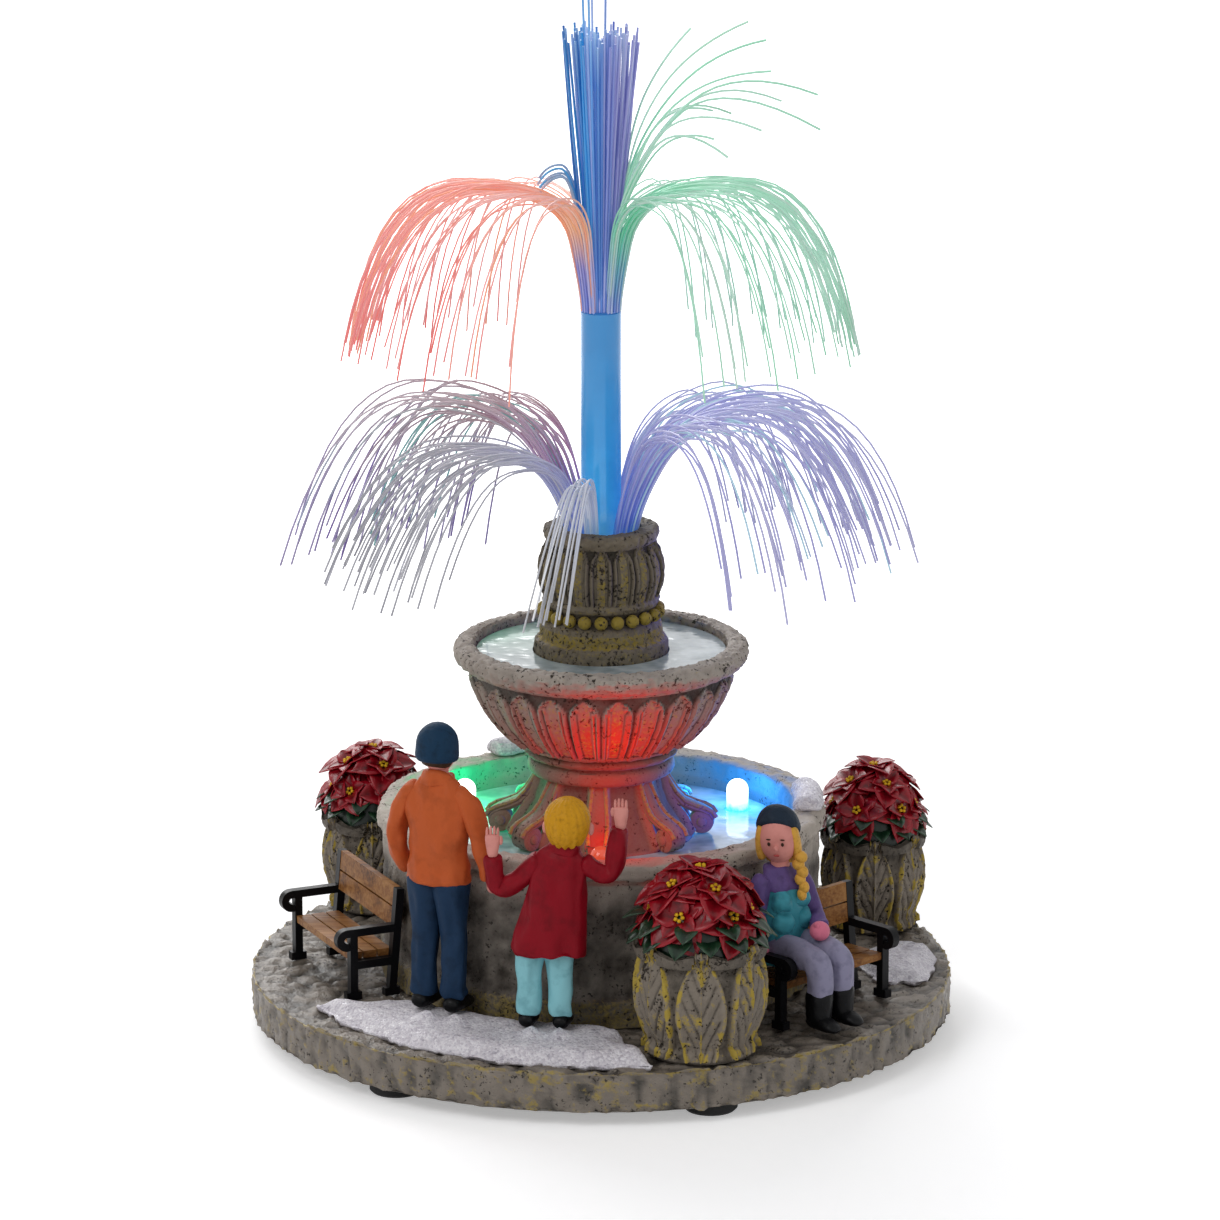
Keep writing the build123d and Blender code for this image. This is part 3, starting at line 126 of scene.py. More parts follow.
def add_node(tree, kind, inputs, out=0, stops=(), **settings):
    """Adds a node with its settings and inputs and gives one of its outputs, or itself where out is None.
    The stops are the places and colours of a ramp."""
    node = tree.nodes.new("ShaderNode" + kind)
    for name, value in settings.items():
        setattr(node, name, value)
    if stops:
        ramp = node.color_ramp
        while len(ramp.elements) < len(stops):
            ramp.elements.new(0.5)
        for element, (place, colour) in zip(ramp.elements, stops):
            element.position = place
            element.color = linear(colour)
    feed(node, inputs)
    return node if out is None else node.outputs[out]


def new_surface(name):
    """A new material, the way to add its nodes, its shader and its object coordinates."""
    material = bpy.data.materials.new(name)
    material.use_nodes = True
    material.node_tree.nodes.clear()
    node = partial(add_node, material.node_tree)
    shader = node("BsdfPrincipled", {}, None)
    node("OutputMaterial", {"Surface": shader.outputs["BSDF"]}, None)
    return material, node, shader, node("TexCoord", {}, "Object")


def per_mm(size):
    """Scale of a pattern whose cells are that many millimetres wide."""
    return 1 / (size * MM)


def blots(place, size, detail=3.0, roughness=0.55):
    """Inputs of a cloudy pattern with blots of a size in millimetres."""
    return {"Vector": place, "Scale": per_mm(size), "Detail": detail, "Roughness": roughness}


def pool_glow(node, place, lights):
    """Light that the pool lamps throw on a surface, as a colour.
    It falls off with the distance and with the turn away from the lamp."""
    normal = node("NewGeometry", {}, "Normal")
    total = None
    for (x, y, z), far, code, power in lights:
        reach = node("VectorMath", {0: (x * MM, y * MM, z * MM), 1: place}, operation="SUBTRACT")
        square = node("VectorMath", {0: reach, 1: reach}, "Value", operation="DOT_PRODUCT")
        ray = node("VectorMath", {0: reach}, operation="NORMALIZE")
        facing = node("VectorMath", {0: ray, 1: normal}, "Value", operation="DOT_PRODUCT")
        lit = node("MapRange", {"Value": facing, "From Min": -0.10, "From Max": 1.0, "To Max": power})
        away = node("Math", {0: square, 1: per_mm(far) ** 2, 2: 1.0}, operation="MULTIPLY_ADD")
        fall = node("Math", {0: away, 1: 2.0}, operation="POWER")
        share = node("Math", {0: lit, 1: fall}, operation="DIVIDE")
        colour = node("VectorMath", {0: linear(code)[:3], "Scale": share}, operation="SCALE")
        if total is None:
            total = colour
        else:
            total = node("VectorMath", {0: total, 1: colour}, operation="ADD")
    return total


def pool_lights(red=0.0, blue=0.0, green=0.0):
    """The pool lamps with the power that each has on a piece, leaving out those of no power."""
    powers = {"red": red, "blue": blue, "green": green}
    return [(*POOL_LIGHTS[name], power) for name, power in powers.items() if power]


def cast_stone(name, hollow, body, gold, pit_size=0.8, lights=(), pitted=0.5, coat=0.0):
    """Cast resin painted as old stone: a dark wash in the hollows, a body that is paler on the high spots,
    gold paint where a dry brush caught the carving, and dark pits. Matt, with a fine grit that breaks up the
    light. The lamps near it give it painted light in their colours, as emission, and painted shade in its
    base colour where that light is strong."""
    material, node, shader, place = new_surface(name)
    relief = node("Attribute", {}, "Fac", attribute_name="relief")
    gilt = node("Attribute", {}, "Fac", attribute_name="gilt")
    stains = node("TexNoise", blots(place, 7.0, 4.0))
    grit = node("TexNoise", blots(place, 0.9, 3.0, 0.7))
    height = node("Mix", {0: 0.35, 2: relief, 3: stains}, data_type="FLOAT")
    washed = [(0.16, hollow), (0.44, body), (0.90, toned(body, 1.45))]
    ground = node("ValToRGB", {"Fac": height}, stops=washed)
    stroke = node("Math", {0: grit, 1: 0.9, 2: gilt}, operation="MULTIPLY_ADD")
    brushed = node("MapRange", {"Value": stroke, "From Min": 0.80, "From Max": 1.06, "To Max": 0.9})
    golden = node("Mix", {0: brushed, 6: ground, 7: gold}, 2, data_type="RGBA")
    small_pits = node("TexNoise", blots(place, pit_size, 2.0, 0.6))
    wide_pits = node("TexNoise", blots(place, 4.0, 2.0))
    depth = node("Mix", {0: 0.35, 2: small_pits, 3: wide_pits}, data_type="FLOAT")
    edge = 0.33 + 0.09 * pitted
    pits = node("ValToRGB", {"Fac": depth}, stops=[(edge, grey(0.0)), (edge + 0.06, grey(1.0))])
    colour = node("Mix", {0: pits, 6: "#2A241D", 7: golden}, 2, data_type="RGBA")
    rough = node("Math", {0: grit, 1: pits}, operation="MULTIPLY")
    bump = node("Bump", {"Height": rough, "Strength": 0.8, "Distance": 0.45 * MM})
    if lights:
        # Painted light: the lamps' glow as emission, weaker in hollows and pits, and orange on the gold.
        glow = pool_glow(node, place, lights)
        opened = node("MapRange", {"Value": relief, "From Max": 0.7, "To Min": 0.12, "To Max": 1.0})
        pit_shade = node("Mix", {0: 0.6, 6: "#FFFFFF", 7: pits}, 2, data_type="RGBA", blend_type="MULTIPLY")
        cast = node("VectorMath", {0: glow, "Scale": opened}, operation="SCALE")
        cast = node("VectorMath", {0: cast, 1: pit_shade}, operation="MULTIPLY")
        red = node("SeparateXYZ", {0: cast})
        amber = node("VectorMath", {0: (1.0, 0.30, 0.03), "Scale": red}, operation="SCALE")
        shine = node("Mix", {0: brushed, 4: cast, 5: amber}, 1, data_type="VECTOR")
        # Painted shade: where the painted light is strong, the base colour goes towards a deep brown.
        flood = node("VectorMath", {0: shine}, "Value", operation="LENGTH")
        painted_shade_share = node("MapRange", {"Value": flood, "From Max": 0.6, "To Max": 0.85})
        colour = node("Mix", {0: painted_shade_share, 6: colour, 7: "#1A0E0A"}, 2, data_type="RGBA")
        feed(shader, {"Emission Color": shine, "Emission Strength": 1.0})
    feed(shader, {
        "Base Color": colour, "Normal": bump, "Roughness": 0.58, "Specular IOR Level": 0.18,
        "Coat Weight": coat, "Coat Roughness": 0.22, "Coat Normal": bump,
    })
    return material


def moulded_plastic(name, code, roughness, grain=0.5):
    """Moulded plastic, rubber and thick paint: an even colour with a grain and slight changes of sheen.
    The real grain is finer; it is drawn at least half a millimetre wide so that it shows."""
    material, node, shader, place = new_surface(name)
    cloud = node("TexNoise", blots(place, 7.0))
    tone = node("Mix", {0: cloud, 6: code, 7: linear(toned(code, 1.6))}, 2, data_type="RGBA")
    sheen = {"From Min": 0.3, "From Max": 0.7, "To Min": roughness - 0.08, "To Max": roughness + 0.08}
    wear = node("MapRange", {"Value": cloud, **sheen})
    spark = node("TexNoise", blots(place, grain))
    bump = node("Bump", {"Height": spark, "Strength": 0.25, "Distance": 0.1 * MM})
    feed(shader, {"Base Color": tone, "Roughness": wear, "Normal": bump, "Specular IOR Level": 0.12})
    return material


def plated_metal(name, code, roughness):
    """Plated or turned metal: fine lines across the piece that draw the highlight out."""
    material, node, shader, place = new_surface(name)
    drawn = node("Mapping", {"Vector": place, "Scale": (1.0, 1.0, 14.0)})
    lines = node("TexNoise", blots(drawn, 1.2))
    tone = node("Mix", {0: lines, 6: code, 7: linear(toned(code, 0.7))}, 2, data_type="RGBA")
    wear = node("MapRange", {"Value": lines, "To Min": roughness - 0.1, "To Max": roughness + 0.15})
    feed(shader, {"Base Color": tone, "Roughness": wear, "Metallic": 1.0})
    return material


def painted_resin(name, code, shade, roughness, fold):
    """Hand-painted resin: its colour turns to the shade colour in the folds, as painted shade,
    and keeps to its own colour on the high spots.
    """
    material, node, shader, place = new_surface(name)
    cloud = node("TexNoise", blots(place, fold))
    tone = node("ValToRGB", {"Fac": cloud}, stops=[(0.0, shade), (0.50, code)])
    bump = node("Bump", {"Height": cloud, "Strength": 0.6, "Distance": 0.35 * MM})
    feed(shader, {"Base Color": tone, "Normal": bump, "Roughness": roughness, "Specular IOR Level": 0.12})
    return material


def plant_paint(name, code, shade, edge):
    """Painted resin leaf: darker along the middle, lighter at the edge, mottled where the paint is thin."""
    material, node, shader, place = new_surface(name)
    across = node("Attribute", {}, "Fac", attribute_name="across")
    cloud = node("TexNoise", blots(place, 1.2))
    mottle = node("Mix", {0: 0.4, 2: across, 3: cloud}, data_type="FLOAT")
    tone = node("ValToRGB", {"Fac": mottle}, stops=[(0.22, shade), (0.48, code), (0.72, edge)])
    bump = node("Bump", {"Height": mottle, "Strength": 0.4, "Distance": 0.25 * MM})
    feed(shader, {"Base Color": tone, "Normal": bump, "Roughness": 0.28, "Specular IOR Level": 0.3})
    return material


def bench_wood(name, along):
    """Stained beech slats: long grain along the board, a satin coat, darker at the pores."""
    material, node, shader, place = new_surface(name)
    aim = {"Rotation": (0.0, 0.0, -along), "Scale": (0.06, 1.0, 1.0)}
    turned = node("Mapping", {"Vector": place, **aim})
    grain = node("TexNoise", blots(turned, 0.9, 4.0, 0.7))
    board = node("TexNoise", blots(turned, 5.0))
    mixed = node("Mix", {0: 0.5, 2: grain, 3: board}, data_type="FLOAT")
    tone = node("ValToRGB", {"Fac": mixed}, stops=[(0.36, "#53331C"), (0.48, "#885A30"), (0.60, "#A57645")])
    bump = node("Bump", {"Height": grain, "Strength": 0.35, "Distance": 0.2 * MM})
    feed(shader, {"Base Color": tone, "Normal": bump, "Roughness": 0.42, "Specular IOR Level": 0.1})
    return material


def glitter_snow(name):
    """Snow paste with mica: white with lilac shadows, and single flakes that catch the light.
    Real flakes are finer; they are drawn half a millimetre wide so that they show."""
    material, node, shader, place = new_surface(name)
    flakes = node("TexVoronoi", {"Vector": place, "Scale": per_mm(0.5)}, None).outputs
    tint = node("SeparateColor", {"Color": flakes["Color"]}, None).outputs
    drift = node("TexNoise", blots(place, 3.0, 4.0))
    blend = node("Mix", {0: 0.4, 2: drift, 3: tint[0]}, data_type="FLOAT")
    tone = node("ValToRGB", {"Fac": blend}, stops=[(0.12, "#8A8492"), (0.34, "#C6C1CA"), (0.72, "#ECE9EE")])
    catch = {"From Min": 0.75, "From Max": 0.9, "To Min": 0.75, "To Max": 0.2}
    shine = node("MapRange", {"Value": tint[1], **catch})
    lumps = node("Math", {0: drift, 1: flakes["Distance"]}, operation="SUBTRACT")
    bump = node("Bump", {"Height": lumps, "Strength": 0.5, "Distance": 0.3 * MM})
    feed(shader, {"Base Color": tone, "Roughness": shine, "Normal": bump})
    return material


def cast_water(name, deep, pale, lights):
    """Clear casting resin over a painted floor: glossy, with set ripples, lit from inside by the lamps."""
    material, node, shader, place = new_surface(name)
    flat = node("Mapping", {"Vector": place, "Scale": (1.0, 1.0, 0.0)})
    ripples = node("TexNoise", blots(flat, 7.0, 2.0))
    tone = node("ValToRGB", {"Fac": ripples}, stops=[(0.35, deep), (0.62, pale)])
    bump = node("Bump", {"Height": ripples, "Strength": 0.35, "Distance": 1.2 * MM})
    swell = {"From Min": 0.3, "From Max": 0.7, "To Min": 0.7, "To Max": 1.25}
    waver = node("MapRange", {"Value": ripples, **swell})
    lit = node("VectorMath", {0: pool_glow(node, place, lights), "Scale": waver}, operation="SCALE")
    feed(shader, {
        "Base Color": tone, "Normal": bump, "Roughness": 0.12, "IOR": 1.5, "Coat Weight": 0.5,
        "Emission Color": lit, "Emission Strength": 1.0,
    })
    return material


def lit_lens(name, code, core, strength):
    """Clear epoxy lens of a lamp that is on: its colour at the foot, and almost white above it."""
    material, node, shader, place = new_surface(name)
    height = node("SeparateXYZ", {"Vector": place}, "Z")
    lens = {"From Min": POOL_FLOOR * MM, "From Max": (POOL_FLOOR + 8.0) * MM}
    climb = node("MapRange", {"Value": height, **lens})
    haze = node("TexNoise", blots(place, 2.0))
    cloud = node("Mix", {0: 0.3, 2: climb, 3: haze}, data_type="FLOAT")
    tone = node("ValToRGB", {"Fac": cloud}, stops=[(0.30, code), (0.62, core), (1.0, core)])
    feed(shader, {
        "Base Color": tone, "Emission Color": tone, "Emission Strength": strength, "Roughness": 0.08,
    })
    return material


def lit_tube(name, low, high):
    """Clear acrylic tube over the lit bundle: glossy, and brightest where the light enters at its foot."""
    material, node, shader, place = new_surface(name)
    height = node("SeparateXYZ", {"Vector": place}, "Z")
    climb = node("MapRange", {"Value": height, "From Min": SOCKET_LEVEL * MM, "From Max": SLEEVE_TOP * MM})
    haze = node("TexNoise", blots(place, 5.0))
    waver = node("Math", {0: haze, 1: 0.25, 2: climb}, operation="MULTIPLY_ADD")
    fading = [(0.10, "#8FDCFF"), (0.28, low), (0.55, high), (1.0, "#2A86C6")]
    tone = node("ValToRGB", {"Fac": waver}, stops=fading)
    feed(shader, {
        "Base Color": tone, "Emission Color": tone, "Emission Strength": 0.2, "Roughness": 0.18, "IOR": 1.49,
    })
    return material


def lit_fibre(name, *stops, stray, glow=0.15):
    """Acrylic optical fibre: a clear thread that leaks the light in it, in colours that change from root to
    end. Some threads of a spray take another colour, and each is a little paler than the next."""
    material, node, shader = new_surface(name)[:3]
    along = node("Attribute", {}, "Fac", attribute_name="along")
    thread = node("Attribute", {}, "Fac", attribute_name="thread")
    tone = node("ValToRGB", {"Fac": along}, stops=stops)
    pale = node("MapRange", {"Value": thread, "From Max": 0.8, "To Max": 0.30})
    paled = node("Mix", {0: pale, 6: tone, 7: "#F2F2F6"}, 2, data_type="RGBA")
    chosen = node("MapRange", {"Value": thread, "From Min": 0.80, "From Max": 0.90, "To Max": 0.85})
    mixed = node("Mix", {0: chosen, 6: paled, 7: stray}, 2, data_type="RGBA")
    feed(shader, {
        "Base Color": mixed, "Emission Color": mixed, "Emission Strength": glow,
        "Roughness": 0.2, "IOR": 1.49,
    })
    return material


def crown_fibre(name):
    """Acrylic fibres of the crown: blue on the left side of the bundle, lavender on the right, with dark and
    pale threads among them and bright cut ends."""
    material, node, shader, place = new_surface(name)
    along = node("Attribute", {}, "Fac", attribute_name="along")
    thread = node("Attribute", {}, "Fac", attribute_name="thread")
    side = node("SeparateXYZ", {"Vector": place}, "X")
    across = node("MapRange", {"Value": side, "From Min": -8.0 * MM, "From Max": 8.0 * MM, "To Max": 0.85})
    shifted = node("Math", {0: thread, 1: 0.15, 2: across}, operation="MULTIPLY_ADD")
    hues = [(0.12, "#0B6FB6"), (0.34, "#2C93DA"), (0.50, "#5B82CE"), (0.68, "#9292CE")]
    tone = node("ValToRGB", {"Fac": shifted}, stops=hues)
    streaks = [(0.0, "#3E4C9A"), (0.22, "#3E4C9A"), (0.30, "#CFD8F4"), (1.0, "#CFD8F4")]
    streak = node("ValToRGB", {"Fac": thread}, stops=streaks)
    shares = ((0.0, 0.45), (0.20, 0.25), (0.30, 0.0), (0.62, 0.0), (0.95, 0.62))
    part = node("ValToRGB", {"Fac": thread}, stops=[(spot, grey(share)) for spot, share in shares])
    varied = node("Mix", {0: part, 6: tone, 7: streak}, 2, data_type="RGBA")
    ends = node("MapRange", {"Value": along, "From Min": 0.82, "From Max": 1.0, "To Max": 0.55})
    mixed = node("Mix", {0: ends, 6: varied, 7: "#CDEBFA"}, 2, data_type="RGBA")
    feed(shader, {
        "Base Color": mixed, "Emission Color": mixed, "Emission Strength": 0.20, "Roughness": 0.2,
    })
    return material


def pick(name, maker, *values, **settings):
    """The material of that name, made once."""
    return bpy.data.materials.get(name) or maker(name, *values, **settings)


def make_piece(shape, name, materials, stands_for=(), crease=45.0):
    """Turns a finished shape into a piece that rides on the fountain and stands for its nodes."""
    mesh = bpy.data.meshes.new(name)
    shape.to_mesh(mesh)
    shape.free()
    for material in materials:
        mesh.materials.append(material)
    mesh.set_sharp_from_angle(angle=math.radians(crease))
    piece = bpy.data.objects.new(name, mesh)
    bpy.context.scene.collection.objects.link(piece)
    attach(piece, "fountain")
    if stands_for:
        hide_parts(*stands_for)
    return piece


def smooth_faces(faces):
    """Shades faces as one rounded surface."""
    for face in faces:
        face.smooth = True


def lathe(outline, steps, fine, closed=True):
    """Spins an outline of (radius, level) points around the middle axis, with rows no further apart than
    fine. A third value of "plain" leaves the stretch after that point in one row."""
    shape = bmesh.new()
    verts = [shape.verts.new((point[0] * MM, 0.0, point[1] * MM)) for point in outline]
    pairs = list(zip(verts, verts[1:])) + ([(verts[-1], verts[0])] if closed else [])
    rows = shape.edges.layers.int.new("rows")
    for point, pair in zip(outline, pairs):
        edge = shape.edges.new(pair)
        edge[rows] = 0 if "plain" in point else int(edge.calc_length() / (fine * MM))
    bmesh.ops.spin(
        shape, geom=list(shape.verts) + list(shape.edges), cent=(0, 0, 0), axis=(0, 0, 1),
        dvec=(0, 0, 0), angle=2 * math.pi, steps=steps, use_merge=True, use_duplicate=False,
    )
    bmesh.ops.remove_doubles(shape, verts=shape.verts, dist=0.005 * MM)

    def runs_along(edge):
        low, high = (vert.co for vert in edge.verts)
        return abs(math.hypot(*low.xy) - math.hypot(*high.xy)) + abs(low.z - high.z) > 0.02 * MM

    along = [edge for edge in shape.edges if edge[rows] and runs_along(edge)]
    for cuts in sorted({edge[rows] for edge in along}):
        group = [edge for edge in along if edge.is_valid and edge[rows] == cuts]
        bmesh.ops.subdivide_edges(shape, edges=group, cuts=cuts, use_grid_fill=True)
    bmesh.ops.recalc_face_normals(shape, faces=shape.faces)
    smooth_faces(shape.faces)
    return shape


def relief_layers(shape):
    """The layers that keep how open each point is and how much gold paint it took."""
    layers = shape.verts.layers.float
    return [layers.get(name) or layers.new(name) for name in ("relief", "gilt")]


def carve(shape, relief_at):
    """Moves each point along its normal and keeps its look. relief_at(angle, radius, spot) gives the move in
    millimetres, how open the point is, from 0 in a hollow to 1, and how much gold it took."""
    relief, gilt = relief_layers(shape)
    shape.normal_update()
    moves = []
    for vert in shape.verts:
        x, y, level = vert.co / MM
        angle, radius = math.atan2(y, x), math.hypot(x, y)
        spot = Vector((radius * math.cos(angle), radius * math.sin(angle), level))
        moves.append((vert, vert.normal.copy(), relief_at(angle, radius, spot)))
    for vert, normal, (move, open_to, gold) in moves:
        vert.co += normal * (move * MM)
        vert[relief], vert[gilt] = open_to, gold


def chips(spot, size, depth, seed=0.0):
    """Worn, chipped stone: how deep it is worn at a point in millimetres."""
    worn = noise.fractal(Vector(spot) / size + Vector((seed, seed, seed)), 0.9, 2.1, 4)
    return -depth * min(1.0, max(0.0, 0.5 + 0.8 * worn))


def smooth_step(value, low, high):
    """Rises from 0 at low to 1 at high."""
    share = min(1.0, max(0.0, (value - low) / (high - low)))
    return share * share * (3 - 2 * share)


def cell_shift(angle, count, phase=0.0):
    """Place within the nearest of count equal cells around the axis, from -0.5 to 0.5."""
    turn = angle / (2 * math.pi) * count + phase
    return turn - round(turn)


def build_plinth():
    """Round slab: paving stones on top with sunk joints, and a rough hewn side."""
    recess_radius, recess_level = 49.7, 5.0
    top_radius, side_inside, arc_radius = 79.2, 78.0, 70.0
    outline = [
        (CAVITY_RADIUS, recess_level, "plain"), (CAVITY_RADIUS, PLINTH_TOP), (top_radius, PLINTH_TOP),
        (PLINTH_RADIUS, 12.3), (PLINTH_RADIUS, PLINTH_UNDERSIDE, "plain"), (77.6, PLINTH_UNDERSIDE, "plain"),
        (recess_radius, PLINTH_UNDERSIDE, "plain"), (recess_radius, recess_level, "plain"),
    ]
    shape = lathe(outline, 420, 0.7)

    def paving(radius, spot):
        near, second = noise.voronoi(Vector((spot.x / 9.0, spot.y / 4.5, 0.0)))[0][:2]
        stone = smooth_step(second - near, 0.02, 0.26)
        wear = chips((spot.x, spot.y, 0.0), 2.4, 0.5)
        edge = smooth_step(radius, 78.4, 79.3)
        opened = 0.24 + 0.40 * stone + 0.5 * wear + 0.2 * edge
        return -0.8 * (1 - stone) + wear * 1.2, opened, 0.12 + 0.35 * edge

    def hewn_side(angle, level):
        around = arc_radius * angle
        hewn = chips((around, level * 0.35, 0.0), 2.2, 1.0, 5.0)
        dent = chips((around, level * 0.7, 9.0), 5.0, 0.7, 3.0)
        edge = smooth_step(level, 11.6, 12.6)
        seam = 1 - smooth_step(abs(noise.noise(Vector((around / 3.6, level / 5.0, 4.0)))), 0.02, 0.12)
        fleck = smooth_step(noise.noise(Vector((around / 3.5, level / 3.0, 2.0))), 0.0, 0.4)
        move = 0.7 * hewn + 0.6 * dent - 0.35 * (1 - seam)
        opened = 0.66 + 0.60 * hewn + 0.1 * edge + 0.12 * seam
        return move, opened, 0.14 + 0.30 * seam + 0.30 * edge + 0.20 * fleck

    def relief(angle, radius, spot):
        if spot.z > PLINTH_TOP - 0.1 and radius > CAVITY_RADIUS + 0.5:
            return paving(radius, spot)
        if radius > side_inside:
            return hewn_side(angle, spot.z)
        return 0.0, 0.3, 0.0

    carve(shape, relief)
    stone = pick(
        "cast_resin_taupe_stone", cast_stone, "#26231F", "#7B7268", "#9A8642", pitted=0.25, coat=0.5)
    make_piece(shape, "plinth_stone", [stone], ["plinth"], 60.0)


def build_basin():
    """Round pool wall of pale stone, with a foot band and a worn, pitted rim."""
    hole_radius, floor_underside = 5.8, 39.2
    rim_foot, wall_inside = 46.0, 48.0
    outline = [
        (CAVITY_RADIUS, PLINTH_TOP, "plain"), (50.3, PLINTH_TOP), (50.3, 19.0), (49.5, 19.8), (49.5, 45.4),
        (48.6, 46.4), (50.4, 46.5), (51.0, 47.3), (51.0, 49.6), (50.5, 50.5), (49.6, BASIN_TOP),
        (44.4, BASIN_TOP), (43.4, 50.5), (CAVITY_RADIUS, 49.7), (CAVITY_RADIUS, POOL_FLOOR, "plain"),
        (hole_radius, POOL_FLOOR, "plain"), (hole_radius, floor_underside, "plain"),
        (CAVITY_RADIUS, floor_underside, "plain"),
    ]
    shape = lathe(outline, 300, 0.9)

    def relief(angle, radius, spot):
        level = spot.z
        if level > rim_foot:
            wear = chips(spot, 2.6, 0.55, 2.0)
            return wear + chips(spot, 9.0, 0.5, 8.0), 0.85 + 0.5 * wear, 0.05
        if radius > wall_inside:
            wear = chips(spot, 3.4, 0.6, 4.0)
            foot = 1 - smooth_step(level, 18.5, 21.0)
            # The outer wall is as dark as a hollow, paler towards its top band: painted shade below the rim.
            return wear, 0.17 + 0.25 * wear + 0.40 * smooth_step(level, 38.0, rim_foot), 0.05 + 0.42 * foot
        return 0.0, 0.45, 0.0

    carve(shape, relief)
    stone = pick(
        "cast_resin_pale_stone", cast_stone, "#352F29", "#A39A90", "#94824A", pit_size=0.7, pitted=0.25,
        lights=pool_lights(red=1.0, blue=2.2, green=2.4),
    )
    make_piece(shape, "basin_stone", [stone], ["basin"], 60.0)


def build_pedestal():
    """Flared foot with eight ribs that end in scrolls, a plain waist band and a neck ring."""
    outline = [
        (CORE_RADIUS, POOL_FLOOR, "plain"), (21.0, POOL_FLOOR), (21.0, POOL_TOP), (20.5, 45.2), (19.2, 47.6),
        (17.3, 50.2), (15.8, 52.6), (14.9, 55.2), (14.3, 57.7), (16.2, 58.6), (16.6, 59.3), (16.6, 60.6),
        (16.2, 61.4), (14.6, 62.2), (16.4, 62.3), (17.3, 62.8), (17.6, 63.4), (17.3, 64.0),
        (16.4, PEDESTAL_TOP, "plain"), (CORE_RADIUS, PEDESTAL_TOP, "plain"),
    ]
    shape = lathe(outline, 192, 0.9)
    scroll_step = 360.0 / SCROLL_COUNT
    flute_phase = 0.5 - SCROLL_START / scroll_step
    flute_top, band_foot, band_top = 57.9, 58.2, 61.6

    def relief(angle, radius, spot):
        wear = chips(spot, 2.0, 0.25, 1.0)
        if POOL_TOP + 0.3 < spot.z < flute_top and radius > 12.0:
            shift = abs(cell_shift(angle, SCROLL_COUNT, flute_phase))
            flute = math.cos(math.pi * shift) ** 2
            lip = smooth_step(shift, 0.26, 0.34) * (1 - smooth_step(shift, 0.38, 0.46))
            return 1.2 * lip - 0.9 * flute + wear, 0.30 + 0.60 * lip, 0.10 + 0.25 * lip
        if band_foot < spot.z < band_top and radius > 15.0:
            return 0.5 * wear, 0.62, 0.15
        return wear, 0.55, 0.2

    carve(shape, relief)
    layers = relief_layers(shape)

    def coat(verts, *looks):
        for vert in verts:
            for layer, look in zip(layers, looks):
                vert[layer] = look

    # Rib: radius, level, half thickness and half width from the neck to the scroll
    rib = [
        (13.6, 57.6, 1.0, 1.9), (15.0, 55.2, 1.2, 2.1), (16.4, 52.9, 1.3, 2.3), (18.4, 50.9, 1.3, 2.5),
        (20.8, 49.9, 1.2, 2.6), (22.9, 49.3, 0.9, 2.6), (24.6, 48.4, 0.8, 2.5), (25.4, 47.2, 0.6, 2.4),
    ]
    # Volute: place across and radius, from one cheek to the middle, and where its middle lies
    volute = [(-3.0, 0.8), (-2.8, 1.1), (-2.45, 1.2), (-2.4, 2.1), (-2.1, 2.7), (0.0, 2.9)]
    volute += [(-across, radius) for across, radius in reversed(volute[:-1])]
    volute_radius, volute_level = 22.8, 46.7
    for index in range(SCROLL_COUNT):
        ribbed = [(Vector((radius, 0, level)), thick, wide) for radius, level, thick, wide in rib]
        body = skin(shape, ribbed, 12)
        rolled = [
            (Vector((volute_radius, across, volute_level)), radius, radius) for across, radius in volute
        ]
        body += skin(shape, rolled, 20, (0, 0, 1))
        coat(body, 0.62, 0.18)
        edges = []
        for side in (-1, 1):
            line = [
                (Vector((radius + 0.7, side * (wide - 0.45), level + 0.6)), 0.5, 0.5)
                for radius, level, thick, wide in rib
            ]
            edges += skin(shape, line, 8)
        coat(edges, 0.85, 0.42)
        paint(body + edges, 0)
        turn = Matrix.Rotation(math.radians(SCROLL_START + scroll_step * index), 4, "Z")
        bmesh.ops.transform(shape, matrix=turn, verts=body + edges)
    stone = pick(
        "cast_resin_lit_stone", cast_stone, "#26211B", "#766C60", "#A38D3C", pitted=0.3,
        # The pool lamps' painted light, and a painted violet light on the front right, where no lamp stands
        lights=pool_lights(red=5.0, blue=9.0, green=5.0) + [((33.0, -13.0, 52.0), 12.0, "#4A46E0", 2.0)],
    )
    make_piece(shape, "pedestal_carving", [stone], ["pedestal"])


def skin(shape, stations, segments, side=(0, 1, 0)):
    """Closed skin over oval stations in millimetres: middle, half depth and half width, with side along
    the width."""
    middles = [Vector(middle) for middle, depth, width in stations]
    rings = []
    for index, (middle, depth, width) in enumerate(stations):
        ahead = middles[min(index + 1, len(middles) - 1)] - middles[max(index - 1, 0)]
        ahead.normalize()
        across = Vector(side) - ahead * ahead.dot(Vector(side))
        if across.length < 0.05:
            across = ahead.orthogonal()
        across.normalize()
        out = across.cross(ahead)
        turn = Matrix((out * depth, across * width, ahead)).transposed().to_4x4()
        turn.translation = middles[index]
        ring = bmesh.ops.create_circle(
            shape, segments=segments, radius=1.0, matrix=Matrix.Scale(MM, 4) @ turn
        )["verts"]
        rings.append(list({edge for vert in ring for edge in vert.link_edges}))
    for low, high in zip(rings, rings[1:]):
        bmesh.ops.bridge_loops(shape, edges=low + high)
    for ring in (rings[0], rings[-1]):
        bmesh.ops.edgeloop_fill(shape, edges=ring)
    return list({vert for ring in rings for edge in ring for vert in edge.verts})


